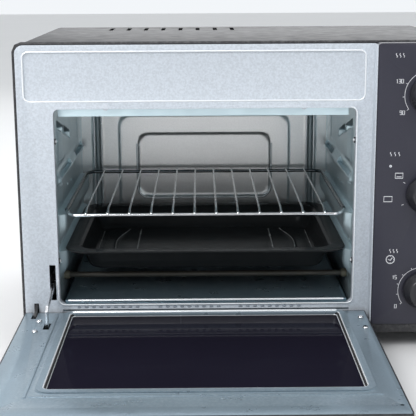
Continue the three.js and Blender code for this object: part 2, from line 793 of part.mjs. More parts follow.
function doorScrew(x, y) {
  const head = rodZ(doorFace + GAP, doorFace + 1.7, x, y, 3.3, 12, 2.4);
  const thread = rodZ(doorFace - 9, doorFace + 0.6, x, y, 1.5, 10);
  const slots = [
    block(x - 2, x + 2, y - 0.35, y + 0.35, doorFace + 1, doorFace + 3),
    block(x - 0.35, x + 0.35, y - 2, y + 2, doorFace + 1, doorFace + 3),
  ];
  return cut(head.add(thread), slots);
}

// Flat link between the door and the spring behind the front sheet.
const linkPivotY = hingeY - 40;
const linkPivotZ = hingeZ - 1.8;
const tailY = 15;
const tailZ = 20;

function hingeLink() {
  const arm = alongX(polygon([
    [linkPivotY + 3, linkPivotZ - 3], [linkPivotY - 0.6, 7.2], [linkPivotY + 2.5, 9.8],
    [-26, 12.2], [-10, 15.2], [tailY, tailZ - 3.2], [tailY + 3.4, tailZ - 1],
    [tailY + 3.4, tailZ + 2.2], [tailY, tailZ + 3.6], [-10, 20.2], [-26, 17], [linkPivotY + 1, 14.6],
    [linkPivotY - 5, 9.6], [linkPivotY - 3.4, linkPivotZ - 3], [linkPivotY, linkPivotZ - 4.4],
  ].reverse()), linkX0, linkX1);
  const pin = rodX(linkX0 - 4.4, linkX0 + 0.5, tailY, tailZ, 1.5, 10);
  const bore = rodX(linkX0 - 1, linkX1 + 1, linkPivotY, linkPivotZ, 1.6 + GAP, 12);
  return arm.add(pin).subtract(bore);
}

function linkPin() {
  const post = block(
    linkX0 - 10, linkX0 - 1.8, linkPivotY - 4, linkPivotY + 4, doorOuter + 1.2 + GAP, linkPivotZ + 3,
  );
  return post.add(rodX(linkX0 - 2.4, linkX1 + 0.8, linkPivotY, linkPivotZ, 1.6, 12));
}

function doorSpring() {
  const pieces = [];
  const start = new THREE.Vector3(springX, tailY + 3, tailZ);
  const end = new THREE.Vector3(springX, 118, -14);
  const direction = end.clone().sub(start);
  const length = direction.length();
  const coil = new THREE.CylinderGeometry(4, 4, length - 16, 12);
  const ends = new THREE.CylinderGeometry(0.9, 0.9, length, 8);
  const turn = new THREE.Quaternion().setFromUnitVectors(new THREE.Vector3(0, 1, 0), direction.normalize());
  const middle = start.clone().add(end).multiplyScalar(0.5);
  for (const geometry of [coil, ends]) {
    pieces.push(toSolid(geometry.applyQuaternion(turn).translate(middle.x, middle.y, middle.z)));
  }
  return union(pieces);
}

function springAnchor() {
  return union([
    block(springX - 7, springX + 10, 121, 122.2, -BASE_DROP + SHEET + GAP, -9),
    block(springX - 7, springX + 10, 121, 136, -BASE_DROP + SHEET + GAP, -BASE_DROP + 2.6),
  ]);
}

// Wire shelf: a bent frame with straight cross wires laid on it.
function wireRack() {
  const r = 2;
  const bend = 11;
  const z = RACK_LEVEL + r;
  const x = shelfHalf - r;
  const y0 = 14 + r;
  const y1 = CAVITY_DEPTH - 18 - r;
  const wires = [
    rodX(-x + bend, x - bend, y0, z, r, 8),
    rodX(-x + bend, x - bend, y1, z, r, 8),
    rodY(y0 + bend, y1 - bend, -x, z, r, 8),
    rodY(y0 + bend, y1 - bend, x, z, r, 8),
  ];
  for (const sx of [-1, 1]) {
    wires.push(wireBend(sx * (x - bend), y0 + bend, z, bend, r, sx, -1));
    wires.push(wireBend(sx * (x - bend), y1 - bend, z, bend, r, sx, 1));
  }
  const count = 12;
  const reach = shelfHalf - 23.5;
  const pitch = (2 * reach) / (count - 1);
  for (let i = 0; i < count; i += 1) {
    wires.push(rodY(y0 - 1.2, y1 + 1.2, -reach + i * pitch, z + 1.6, 1.15, 6));
  }
  return union(wires);
}

// Enamelled tray: rolled rim, sloped sides, pressed base lines.
function bakingTray() {
  const rim = TRAY_LEVEL + 2;
  const base = rim - TRAY_DEPTH;
  const y0 = 2;
  const y1 = CAVITY_DEPTH - 24;
  const flange = alongZ(rounded(-shelfHalf, shelfHalf, y0, y1, 26, 6), rim - 2, rim);
  const wellAt = (z, wall) => {
    const inset = 15 + (9 * (rim - z)) / TRAY_DEPTH + wall;
    const ends = inset + 4;
    return loop(-shelfHalf + inset, shelfHalf - inset, y0 + ends, y1 - ends, 24 - wall, 4);
  };
  const well = loft(wellAt(base, 0), base, wellAt(rim, 0), rim);
  const hollow = loft(wellAt(base + 1, 1.1), base + 1, wellAt(rim + 3, 1.1), rim + 3);
  const lines = [];
  for (const inset of [47, 75]) {
    for (const side of [-1, 1]) {
      const x = side * (shelfHalf - inset);
      const line = rounded(x - 1.6, x + 1.6, 70, CAVITY_DEPTH - 83, 1.5, 2);
      lines.push(alongZ(line, base + 0.5, base + 1.8));
    }
  }
  return union([flange.add(well).subtract(hollow), ...lines]);
}

function crumbTray() {
  const y0 = 1;
  const y1 = CAVITY_DEPTH - 15;
  const half = shelfHalf - 1;
  return union([
    block(-half, half, y0, y1, 0.9, 1.9),
    block(-half, half, y0, y0 + 4, 3.1, 4.6),
    block(-half, half, y0 + 3, y0 + 4, 1.5, 4.6),
    block(-half, half, y1 - SHEET, y1, 1.5, 4.4),
    block(-half, -half + SHEET, y0 + 3, y1, 1.5, 4.4),
    block(half - SHEET, half, y0 + 3, y1, 1.5, 4.4),
  ]);
}

// Assembly.
const GALVANISED = [0xc4cdd4, 0.38, 0.75];
const LINING = [0x93a1a8, 0.36, 0.8];
const BLACK_SHEET = [0x17171a, 0.5, 0.35];
const BRIGHT_STEEL = [0xb9bcc0, 0.25, 0.95];
const CERAMIC = [0xd9d4c8, 0.7, 0];
const MOULDING = [0x3a3a45, 0.5, 0];

addPart('front_frame', frontFrame(), ...GALVANISED);
addPart('outer_casing', outerCasing(), ...BLACK_SHEET);
addPart('back_cover', backCover(), ...BLACK_SHEET);
addPart('base_plate', basePlate(), ...BLACK_SHEET);
addPart('cavity_wall_left', sideWall(-1), ...LINING);
addPart('cavity_wall_right', sideWall(1), ...LINING);
addPart('cavity_ceiling', ceiling(), ...LINING);
addPart('cavity_back', cavityBack(), ...LINING);
addPart('cavity_floor', cavityFloor(), 0x4a5962, 0.42, 0.7);
addPart('heat_shield', heatShield(), ...LINING);
addPart('control_fascia', controlFascia(), ...MOULDING);
addPart('control_bracket', controlBracket(), ...GALVANISED);
addPart('lamp_lens', lampLens(), 0xa53a1e, 0.2, 0);
addPart('thermostat', thermostat(), 0x8a6b48, 0.6, 0);
addPart('thermostat_bulb', thermostatBulb(), 0xb07a4a, 0.3, 0.9);
addPart('function_switch', functionSwitch(), 0x8c5a3c, 0.6, 0);
addPart('timer_unit', timerUnit(), ...BRIGHT_STEEL);
addPart('timer_bell', timerBell(), ...BRIGHT_STEEL);
addPart('terminal_block', terminalBlock(), ...CERAMIC);
addPart('cord_gland', cordGland(), 0x111112, 0.6, 0);
addPart('hinge_bracket', hingeBracket(), ...BRIGHT_STEEL);
addPart('hinge_pin_left', leftHingePin(), ...BRIGHT_STEEL);
addPart('hinge_pin_right', rightHingePin(), ...BRIGHT_STEEL);
addPart('spring_anchor', springAnchor(), ...GALVANISED);
addPart('door_spring', doorSpring(), ...BRIGHT_STEEL);

footPlaces().forEach(([x, y], index) => {
  addPart(`foot_${index + 1}`, foot(x, y), 0x101011, 0.75, 0);
});

for (const [height, z] of [['lower', lowerElementZ], ['upper', upperElementZ]]) {
  for (const [place, y] of [['front', frontElementY], ['rear', rearElementY]]) {
    addPart(`element_${height}_${place}`, element(y, z), 0x4a4a46, 0.5, 0.6);
    for (const [name, side] of [['left', -1], ['right', 1]]) {
      addPart(`bush_${height}_${place}_${name}`, elementBush(side, y, z), ...CERAMIC);
    }
  }
}

addPart('door_inner', doorInner(), ...GALVANISED);
addPart('door_glass', doorGlass(), 0x1a1a24, 0.06, 0);
addPart('door_shell', doorShell(), ...BLACK_SHEET);
addPart('door_handle', doorHandle(), 0x151517, 0.4, 0);
addPart('link_pin', linkPin(), ...BRIGHT_STEEL);
screwPlaces.slice(0, 4).forEach(([x, y], index) => {
  addPart(`door_screw_${index + 1}`, doorScrew(x, y), ...BRIGHT_STEEL);
});
addPart('hinge_link', hingeLink(), ...BRIGHT_STEEL);
addPart('wire_rack', wireRack(), 0xd6d8da, 0.12, 1);
addPart('baking_tray', bakingTray(), 0x0d0d10, 0.15, 0);
addPart('crumb_tray', crumbTray(), ...GALVANISED);
for (const [name, z] of Object.entries(controls)) {
  addPart(`knob_${name}`, knob(z), 0x1b1b20, 0.4, 0);
  addPart(`shaft_${name}`, shaft(z), ...BRIGHT_STEEL);
}

// The whole assembly is moved so that its box stands centred on the origin.
const bounds = new THREE.Box3();
for (const { solid } of parts) {
  const box = solid.boundingBox();
  bounds.expandByPoint(new THREE.Vector3(...box.min));
  bounds.expandByPoint(new THREE.Vector3(...box.max));
}
const shift = new THREE.Vector3(
  -(bounds.min.x + bounds.max.x) / 2,
  -(bounds.min.y + bounds.max.y) / 2,
  -bounds.min.z,
);

const group = new THREE.Group();
for (const { name, solid, colour, roughness, metalness } of parts) {
  const built = solid.getMesh();
  const geometry = new THREE.BufferGeometry();
  geometry.setAttribute('position', new THREE.BufferAttribute(new Float32Array(built.vertProperties), 3));
  geometry.setIndex(new THREE.BufferAttribute(new Uint32Array(built.triVerts), 1));
  geometry.translate(shift.x, shift.y, shift.z);
  geometry.computeVertexNormals();
  const material = new THREE.MeshStandardMaterial({ color: colour, roughness, metalness });
  const mesh = new THREE.Mesh(geometry, material);
  mesh.name = name;
  group.add(mesh);
}

export default group;
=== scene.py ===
import json
import math

import bmesh
import bpy
from mathutils import Matrix, Vector


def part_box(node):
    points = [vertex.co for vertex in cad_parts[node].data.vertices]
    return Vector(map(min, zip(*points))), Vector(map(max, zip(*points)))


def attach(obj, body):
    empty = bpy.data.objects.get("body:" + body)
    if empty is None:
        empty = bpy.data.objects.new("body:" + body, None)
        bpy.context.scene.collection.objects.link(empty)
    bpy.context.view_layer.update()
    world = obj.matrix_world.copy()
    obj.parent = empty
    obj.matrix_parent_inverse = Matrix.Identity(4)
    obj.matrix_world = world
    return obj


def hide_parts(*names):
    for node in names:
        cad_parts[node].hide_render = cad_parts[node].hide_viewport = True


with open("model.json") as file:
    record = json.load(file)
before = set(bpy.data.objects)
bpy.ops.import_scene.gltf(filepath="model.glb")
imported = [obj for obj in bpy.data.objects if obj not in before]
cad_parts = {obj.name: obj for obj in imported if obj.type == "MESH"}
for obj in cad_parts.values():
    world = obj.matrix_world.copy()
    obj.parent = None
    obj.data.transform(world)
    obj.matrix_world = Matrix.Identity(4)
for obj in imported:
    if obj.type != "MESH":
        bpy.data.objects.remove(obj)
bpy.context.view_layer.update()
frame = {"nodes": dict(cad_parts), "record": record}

MM = 0.001

# Working origin: middle of the opening's lower edge on the front sheet. Every
# place below is in millimetres from it: x to the right, y into the oven, z up.
WALL_FRONT = 2.8
FLOOR_UNDERSIDE = -7.6
left_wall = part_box("cavity_wall_left")
right_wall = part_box("cavity_wall_right")
ORIGIN = Vector((
    (left_wall[0].x + right_wall[1].x) / 2,
    left_wall[0].y - WALL_FRONT * MM,
    left_wall[0].z - FLOOR_UNDERSIDE * MM,
))
WALL_INNER = 161.3
CAVITY_END = 273.0
CEILING = 224.0
RACK_LEVEL = 97.7
TRAY_LEVEL = 56.7
SHEET = 1.0
DIAL_X = 231.5
DIALS = {"timer": 20.0, "function": 125.0, "temperature": 230.0}
PANEL = -20.0


def at(x, y, z):
    """A place in millimetres from the opening's lower edge, as metres in the row frame."""
    return ORIGIN + Vector((x, y, z)) * MM


def node_box(name):
    """A CAD node's box in millimetres from the opening's lower edge."""
    low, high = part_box(name)
    return (low - ORIGIN) / MM, (high - ORIGIN) / MM


# ---------------------------------------------------------------- materials


def noise(tree, vector, scale, detail=4.0, rough=0.55):
    made = tree.nodes.new("ShaderNodeTexNoise")
    made.inputs["Scale"].default_value = scale
    made.inputs["Detail"].default_value = detail
    made.inputs["Roughness"].default_value = rough
    tree.links.new(vector, made.inputs["Vector"])
    return made.outputs["Fac"]


def spread(tree, value, low, high, start=0.3, stop=0.7):
    made = tree.nodes.new("ShaderNodeMapRange")
    made.inputs["From Min"].default_value = start
    made.inputs["From Max"].default_value = stop
    made.inputs["To Min"].default_value = low
    made.inputs["To Max"].default_value = high
    tree.links.new(value, made.inputs["Value"])
    return made.outputs["Result"]


def mix(tree, factor, a, b):
    made = tree.nodes.new("ShaderNodeMix")
    made.data_type = "RGBA"
    if isinstance(factor, float):
        made.inputs["Factor"].default_value = factor
    else:
        tree.links.new(factor, made.inputs["Factor"])
    for socket, colour in ((made.inputs[6], a), (made.inputs[7], b)):
        if isinstance(colour, tuple):
            socket.default_value = (*colour, 1.0)
        else:
            tree.links.new(colour, socket)
    return made.outputs[2]


def tint(colour, factor):
    return tuple(min(1.0, c * factor) for c in colour)


def surface(name, colour, metallic, roughness, *, vary=0.08, vary_scale=40, rough_vary=0.06,
            rough_scale=60, grain=0.0, grain_scale=1500, bumps=(), spangle=0.0,
            spangle_scale=90, coat=0.0, specular=0.5, transmission=0.0, stain=None, wear=None):
    """Cloudy colour, uneven gloss, fine grain, zinc spangle, stains, worn edges and bump."""
    made = bpy.data.materials.new(name)
    made.use_nodes = True
    tree = made.node_tree
    shader = tree.nodes["Principled BSDF"]
    shader.inputs["Metallic"].default_value = metallic
    shader.inputs["Coat Weight"].default_value = coat
    shader.inputs["Coat Roughness"].default_value = 0.08
    shader.inputs["IOR"].default_value = 1.5
    shader.inputs["Specular IOR Level"].default_value = specular
    shader.inputs["Transmission Weight"].default_value = transmission
    coords = tree.nodes.new("ShaderNodeTexCoord").outputs["Object"]

    cloud = spread(tree, noise(tree, coords, vary_scale), 0.0, 1.0)
    base = mix(tree, cloud, tint(colour, 1 - vary), tint(colour, 1 + vary))
    if grain:
        speck = spread(tree, noise(tree, coords, grain_scale, 2.0), 0.0, 1.0, 0.35, 0.65)
        grained = mix(tree, speck, tint(colour, 1 - grain), tint(colour, 1 + grain))
        base = mix(tree, 0.5, base, grained)
    rough = spread(
        tree, noise(tree, coords, rough_scale, 5.0), roughness - rough_vary, roughness + rough_vary,
    )
    if spangle:
        cells = tree.nodes.new("ShaderNodeTexVoronoi")
        cells.inputs["Scale"].default_value = spangle_scale
        tree.links.new(coords, cells.inputs["Vector"])
        split = tree.nodes.new("ShaderNodeSeparateColor")
        tree.links.new(cells.outputs["Color"], split.inputs["Color"])
        crystal = spread(tree, split.outputs[0], 0.0, spangle, 0.0, 1.0)
        base = mix(tree, crystal, base, tint(colour, 0.55))
        total = tree.nodes.new("ShaderNodeMath")
        total.operation = "ADD"
        tree.links.new(rough, total.inputs[0])
        tree.links.new(spread(tree, split.outputs[1], -0.04, 0.05, 0.0, 1.0), total.inputs[1])
        rough = total.outputs[0]
    if stain:
        stain_colour, stain_scale, amount = stain
        blot = spread(
            tree, noise(tree, coords, stain_scale, 6.0, 0.65), 0.0, amount, 0.48, 0.75,
        )
        base = mix(tree, blot, base, stain_colour)
    if wear:
        worn_colour, amount = wear
        convex = tree.nodes.new("ShaderNodeNewGeometry").outputs["Pointiness"]
        edge = spread(tree, convex, 0.0, 1.0, 0.53, 0.60)
        patchy = spread(tree, noise(tree, coords, 320, 4.0), 0.0, amount, 0.45, 0.65)
        both = tree.nodes.new("ShaderNodeMath")
        both.operation = "MULTIPLY"
        tree.links.new(edge, both.inputs[0])
        tree.links.new(patchy, both.inputs[1])
        base = mix(tree, both.outputs[0], base, worn_colour)
    tree.links.new(base, shader.inputs["Base Color"])
    tree.links.new(rough, shader.inputs["Roughness"])

    normal = None
    for scale, strength, depth in bumps:
        stretch = tree.nodes.new("ShaderNodeMapping")
        stretch.inputs["Scale"].default_value = (scale, scale, scale)
        tree.links.new(coords, stretch.inputs["Vector"])
        bump = tree.nodes.new("ShaderNodeBump")
        bump.inputs["Strength"].default_value = strength
        bump.inputs["Distance"].default_value = depth
        tree.links.new(noise(tree, stretch.outputs["Vector"], 1.0, 3.0), bump.inputs["Height"])
        if normal:
            tree.links.new(normal, bump.inputs["Normal"])
        normal = bump.outputs["Normal"]
    if normal:
        tree.links.new(normal, shader.inputs["Normal"])
    return made


LOOKS = {
    "front_frame": surface(
        "speckled_silver", (0.56, 0.605, 0.655), 0.10, 0.46, vary=0.02, vary_scale=9, grain=0.16,
        grain_scale=480, bumps=((800, 0.3, 0.00005),), rough_vary=0.05,
    ),
    "black_sheet": surface(
        "black_powder_coat", (0.020, 0.020, 0.023), 0.0, 0.50, vary=0.2, vary_scale=260,
        grain=0.3, grain_scale=1200, bumps=((1500, 0.5, 0.00008),), rough_vary=0.07,
        wear=((0.12, 0.12, 0.12), 0.5),
    ),
    "cavity_lining": surface(
        "galvanised_lining", (0.64, 0.78, 0.83), 0.76, 0.34, vary=0.03, vary_scale=9,
        rough_vary=0.02, rough_scale=20, spangle=0.03, spangle_scale=60,
        bumps=((1400, 0.06, 0.00001),), stain=((0.36, 0.40, 0.41), 12, 0.08),
    ),
    "cavity_back": surface(
        "galvanised_back", (0.93, 0.93, 0.92), 0.86, 0.34, vary=0.02, vary_scale=14, grain=0.05,
        grain_scale=500, rough_vary=0.01, rough_scale=15, bumps=((900, 0.05, 0.00001),),
    ),
    "cavity_floor": surface(
        "galvanised_floor", (0.16, 0.22, 0.26), 0.85, 0.34, vary=0.05, vary_scale=12,
        spangle=0.05, spangle_scale=80, bumps=((700, 0.06, 0.00002),),
        stain=((0.11, 0.13, 0.14), 20, 0.15),
    ),
    "crumb_tray": surface(
        "galvanised_tray", (0.22, 0.32, 0.38), 0.80, 0.33, vary=0.04, vary_scale=8,
        spangle=0.03, spangle_scale=70, bumps=((700, 0.06, 0.00002),),
        stain=((0.16, 0.22, 0.25), 14, 0.10),
    ),
    "fascia": surface(
        "charcoal_moulding", (0.026, 0.026, 0.041), 0.0, 0.42, vary=0.05, vary_scale=30,
        grain=0.12, grain_scale=1500, bumps=((1900, 0.4, 0.00004),),
        wear=((0.12, 0.12, 0.14), 0.35),
    ),
    "plated_steel": surface(
        "zinc_plate", (0.60, 0.61, 0.57), 0.9, 0.34, vary=0.06, vary_scale=50, grain=0.08,
        bumps=((900, 0.2, 0.00003),), stain=((0.45, 0.42, 0.28), 60, 0.3),
    ),
    "bright_steel": surface(
        "nickel_plate", (0.74, 0.75, 0.77), 1.0, 0.22, vary=0.04, vary_scale=80,
        bumps=((1300, 0.15, 0.00002),), stain=((0.4, 0.37, 0.32), 90, 0.2),
    ),
    "lamp_lens": surface(
        "amber_lens", (0.55, 0.12, 0.04), 0.0, 0.12, vary=0.1, vary_scale=200, coat=0.6,
        transmission=0.25, bumps=((600, 0.1, 0.00005),),
    ),
    "phenolic": surface(
        "brown_phenolic", (0.17, 0.085, 0.045), 0.0, 0.5, vary=0.2, vary_scale=160, grain=0.25,
        bumps=((900, 0.3, 0.00006),),
    ),
    "copper_tube": surface(
        "copper", (0.72, 0.36, 0.22), 1.0, 0.3, vary=0.12, vary_scale=60,
        stain=((0.25, 0.12, 0.08), 70, 0.5), bumps=((1200, 0.2, 0.00002),),
    ),
    "ceramic": surface(
        "fired_bush", (0.19, 0.175, 0.125), 0.0, 0.45, vary=0.12, vary_scale=120, grain=0.15,
        bumps=((1100, 0.4, 0.00006),), stain=((0.10, 0.08, 0.05), 90, 0.5),
    ),
    "black_plastic": surface(
        "black_nylon", (0.016, 0.016, 0.017), 0.0, 0.5, vary=0.2, vary_scale=200, grain=0.2,
        bumps=((2000, 0.4, 0.00004),),
    ),
    "door_inner": surface(
        "coated_door_sheet", (0.27, 0.345, 0.40), 0.50, 0.32, vary=0.04, vary_scale=16, grain=0.10,
        grain_scale=700, bumps=((1000, 0.2, 0.00003), (60, 0.06, 0.0002)),
        wear=((0.5, 0.55, 0.58), 0.3),
    ),
    "door_glass": surface(
        "smoked_glass", (0.011, 0.010, 0.018), 0.0, 0.06, vary=0.05, vary_scale=8, rough_vary=0.02,
        transmission=0.03, bumps=((22, 0.03, 0.0003),), specular=0.003,
    ),
    "door_shell": surface(
        "satin_black_sheet", (0.020, 0.020, 0.023), 0.0, 0.36, vary=0.2, vary_scale=200,
        grain=0.2, bumps=((1500, 0.35, 0.00004),), coat=0.15, wear=((0.15, 0.15, 0.15), 0.4),
    ),
    "handle_plastic": surface(
        "black_handle", (0.014, 0.014, 0.016), 0.0, 0.33, vary=0.2, vary_scale=120, grain=0.15,
        bumps=((1700, 0.3, 0.00004),), coat=0.1,
    ),
    "chrome_wire": surface(
        "chrome", (0.80, 0.81, 0.82), 1.0, 0.16, vary=0.04, vary_scale=60, rough_vary=0.05,
        bumps=((700, 0.12, 0.00002),), stain=((0.42, 0.38, 0.33), 40, 0.2),
    ),
    "enamel": surface(
        "black_enamel", (0.019, 0.021, 0.022), 0.0, 0.20, vary=0.2, vary_scale=40,
        rough_vary=0.03, grain=0.3, grain_scale=2500,
        bumps=((200, 0.10, 0.0001), (1300, 0.08, 0.00002)), specular=0.06,
        wear=((0.06, 0.06, 0.06), 0.5),
    ),
    "rubber_foot": surface(
        "black_rubber", (0.018, 0.018, 0.018), 0.0, 0.78, vary=0.2, vary_scale=100, grain=0.25,
        bumps=((1200, 0.5, 0.0001),),
    ),
    "element_tube": surface(
        "oxidised_sheath", (0.105, 0.095, 0.080), 0.40, 0.44, vary=0.16, vary_scale=50, grain=0.2,
        bumps=((1200, 0.25, 0.00004),), stain=((0.09, 0.07, 0.035), 26, 0.5),
    ),
    "knob_plastic": surface(
        "knob_black", (0.018, 0.018, 0.022), 0.0, 0.32, vary=0.2, vary_scale=120, grain=0.15,
        bumps=((2000, 0.3, 0.00003),), coat=0.2, wear=((0.10, 0.10, 0.11), 0.4),
    ),
}
OXIDE = surface(
    "black_oxide", (0.035, 0.035, 0.037), 0.6, 0.42, vary=0.2, vary_scale=90, grain=0.2,
    bumps=((1100, 0.3, 0.00004),), wear=((0.4, 0.4, 0.4), 0.5),
)
# Near-white paint for thin lines and dots that stand in for light: painted highlights on edges,
# beads, rolls, lips and studs.
PAINTED_HIGHLIGHT = surface(
    "painted_highlight_silver", (0.90, 0.93, 0.95), 0.35, 0.22, vary=0.02, vary_scale=30, grain=0.04,
    bumps=((600, 0.1, 0.00002),),
)
# Chrome with a darkened base for the rack's side and rear rails: painted shade and a painted dark
# reflection; its stains are real.
PAINTED_SHADE_CHROME = surface(
    "painted_shade_chrome", (0.16, 0.18, 0.19), 1.0, 0.14, vary=0.08, vary_scale=60,
    rough_vary=0.04, bumps=((700, 0.12, 0.00002),), stain=((0.10, 0.08, 0.06), 40, 0.3),
)
CORNER_SHADE = surface(
    "corner_shade", (0.36, 0.42, 0.44), 0.5, 0.42, vary=0.06, vary_scale=40, grain=0.08,
    bumps=((900, 0.1, 0.00002),),
)
# Light grey for thin lines along the tray's ribs: painted highlights on the rib crests.
RIB_HIGHLIGHT_PAINT = surface(
    "painted_rib_highlight", (0.20, 0.21, 0.21), 0.0, 0.25, vary=0.15, vary_scale=60, grain=0.1,
    bumps=((900, 0.1, 0.00002),),
)
DIMPLE_SHADE = surface(
    "dimple_shade", (0.26, 0.30, 0.35), 0.1, 0.5, vary=0.1, vary_scale=80, grain=0.1,
    bumps=((900, 0.1, 0.00002),),
)
PRINT = surface(
    "printed_ink", (0.72, 0.73, 0.76), 0.0, 0.55, vary=0.05, vary_scale=400, grain=0.1,
    bumps=((2600, 0.2, 0.00001),),
)

# ------------------------------------------------------------- mesh helpers

SLOT_OF = {s["node"]: s["material_slot"] for s in frame["record"]["subparts"]}
BODY_OF = {
    n: b for b, members in frame["record"]["behaviour"]["bodies"].items() for n in members
}
for name, obj in frame["nodes"].items():
    obj.data.materials.clear()
    obj.data.materials.append(LOOKS[SLOT_OF[name]])


def piece(name, bm, slot, body, replaced=(), angle=32, look=None, in_mm=True):
    """A named piece from a bmesh: it gets its place, its material and the body it rides on."""
    if in_mm:
        for vert in bm.verts:
            vert.co = at(*vert.co)
    mesh = bpy.data.meshes.new(name)
    bm.to_mesh(mesh)
    bm.free()
    for face in mesh.polygons:
        face.use_smooth = True
    mesh.set_sharp_from_angle(angle=math.radians(angle))
    mesh.materials.append(look or LOOKS[slot])
    made = bpy.data.objects.new(name, mesh)
    bpy.context.scene.collection.objects.link(made)
    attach(made, body)
    if replaced:
        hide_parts(*replaced)


SMOOTH_ANGLE = 32
SHARP_ANGLE = 28
FLAT_ANGLE = 0.6


def refined(node_name, width, look=None):
    """A CAD node's own shape with its facets joined and its edges rounded, in its place."""
    bm = bmesh.new()
    bm.from_mesh(frame["nodes"][node_name].data)
    bmesh.ops.remove_doubles(bm, verts=bm.verts, dist=2e-6)
    bmesh.ops.dissolve_limit(
        bm, angle_limit=math.radians(FLAT_ANGLE), verts=bm.verts, edges=bm.edges,
    )
    sharp = [
        e for e in bm.edges
        if len(e.link_faces) == 2 and e.calc_face_angle(0) > math.radians(SHARP_ANGLE)
        and e.calc_length() > width * MM * 0.2
    ]
    bmesh.ops.bevel(
        bm, geom=sharp, offset=width * MM, offset_type="OFFSET", segments=2,
        profile=0.5, affect="EDGES", clamp_overlap=True,
    )
    bmesh.ops.recalc_face_normals(bm, faces=bm.faces)
    bmesh.ops.triangulate(bm, faces=[f for f in bm.faces if len(f.verts) > 4])
    piece(
        node_name + "_finished", bm, SLOT_OF[node_name], BODY_OF[node_name], (node_name,),
        SMOOTH_ANGLE, look=look, in_mm=False,
    )


def step(low, high, value):
    """A smooth step from 0 at low to 1 at high."""
    t = min(1.0, max(0.0, (value - low) / (high - low)))
    return t * t * (3 - 2 * t)


def hump(low, high, value, edge):
    """1 between low and high, falling smoothly to 0 over edge on both sides."""
    return step(low - edge, low, value) * (1 - step(high, high + edge, value))


def round_rect(u, v, u0, u1, v0, v1, radius):
    """Distance outside a rounded rectangle, negative inside it."""
    qu = abs(u - (u0 + u1) / 2) - (u1 - u0) / 2 + radius
    qv = abs(v - (v0 + v1) / 2) - (v1 - v0) / 2 + radius
    return math.hypot(max(qu, 0), max(qv, 0)) + min(max(qu, qv), 0) - radius


def grid_lines(start, stop, spacing, extra=()):
    """Even grid lines, with extra lines exactly where a feature has an edge."""
    count = max(1, round((stop - start) / spacing))
    even = [start + (stop - start) * i / count for i in range(count + 1)]
    kept = [v for v in even if all(abs(v - e) > spacing * 0.3 for e in extra)]
    merged = sorted(set(kept + [round(e, 4) for e in extra if start <= e <= stop] + [start, stop]))
    return [v for i, v in enumerate(merged) if i == 0 or v - merged[i - 1] > 0.015]


def pressed_sheet(us, vs, height, place, thickness=SHEET, hole=None):
    """A closed sheet pressed to height(u, v): a front skin, a back skin and the rims between."""
    bm = bmesh.new()
    front, back = {}, {}

    def vert(layer, i, j, drop):
        if (i, j) not in layer:
            layer[i, j] = bm.verts.new(place(us[i], vs[j], height(us[i], vs[j]) - drop))
        return layer[i, j]

    kept = set()
    for i in range(len(us) - 1):
        for j in range(len(vs) - 1):
            if hole and hole((us[i] + us[i + 1]) / 2, (vs[j] + vs[j + 1]) / 2):
                continue
            kept.add((i, j))
            ring = ((i, j), (i + 1, j), (i + 1, j + 1), (i, j + 1))
            bm.faces.new([vert(front, *c, 0.0) for c in ring])
            bm.faces.new([vert(back, *c, thickness) for c in reversed(ring)])
    for i, j in kept:
        sides = (
            ((i, j - 1), (i, j), (i + 1, j)), ((i + 1, j), (i + 1, j), (i + 1, j + 1)),
            ((i, j + 1), (i + 1, j + 1), (i, j + 1)), ((i - 1, j), (i, j + 1), (i, j)),
        )
        for neighbour, a, b in sides:
            if neighbour not in kept:
                bm.faces.new((front[b], front[a], back[a], back[b]))
    bmesh.ops.recalc_face_normals(bm, faces=bm.faces)
    return bm


def bridge(bm, a, b):
    """Skins two equal rings of corners."""
    count = len(a)
    for k in range(count):
        bm.faces.new((a[k], a[(k + 1) % count], b[(k + 1) % count], b[k]))


def tube(bm, path, radius, segments=12, closed=False):
    """A round bar along a path of places; radius may be a number or one number a point."""
    points = [Vector(p) for p in path]
    count = len(points)
    radii = radius if isinstance(radius, (list, tuple)) else [radius] * count
    rings = []
    side = None
    for i, point in enumerate(points):
        if closed:
            heading = points[(i + 1) % count] - points[i - 1]
        else:
            heading = points[min(i + 1, count - 1)] - points[max(i - 1, 0)]
        heading.normalize()
        if side is None:
            side = heading.orthogonal().normalized()
        side = (side - heading * side.dot(heading)).normalized()
        other = heading.cross(side)
        ring = []
        for k in range(segments):
            a = 2 * math.pi * k / segments
            ring.append(bm.verts.new(
                point + (side * math.cos(a) + other * math.sin(a)) * radii[i],
            ))
        rings.append(ring)
    for i in range(count if closed else count - 1):
        bridge(bm, rings[i], rings[(i + 1) % count])
    if not closed:
        bm.faces.new(reversed(rings[0]))
        bm.faces.new(rings[-1])


def corner_path(x0, x1, y0, y1, radius, z, steps=10):
    """A closed path round a rectangle with round corners, at one height."""
    path = []
    for cx, cy, start in (
        (x1 - radius, y1 - radius, 0), (x0 + radius, y1 - radius, 90),
        (x0 + radius, y0 + radius, 180), (x1 - radius, y0 + radius, 270),
    ):
        for i in range(steps + 1):
            a = math.radians(start + 90 * i / steps)
            path.append((cx + radius * math.cos(a), cy + radius * math.sin(a), z))
    return path


def ring_loft(bm, rings, capped=True):
    """Skins a list of equal rings of places, and caps both ends if asked."""
    made = [[bm.verts.new(p) for p in ring] for ring in rings]
    for a, b in zip(made, made[1:]):
        bridge(bm, a, b)
    if capped:
        bm.faces.new(reversed(made[0]))
        bm.faces.new(made[-1])
    return made


def dome(bm, centre, axis, radius, height, segments=16, rings=5):
    """A shallow button head, closed at the back, on an axis."""
    axis = Vector(axis).normalized()
    side = axis.orthogonal().normalized()
    other = axis.cross(side)
    loops = []
    for i in range(rings):
        a = math.pi / 2 * i / rings
        loops.append([
            Vector(centre) + axis * (height * math.sin(a))
            + (side * math.cos(t) + other * math.sin(t)) * (radius * math.cos(a))
            for t in (2 * math.pi * k / segments for k in range(segments))
        ])
    ring_loft(bm, loops)


# ------------------------------------------------------------- cavity walls

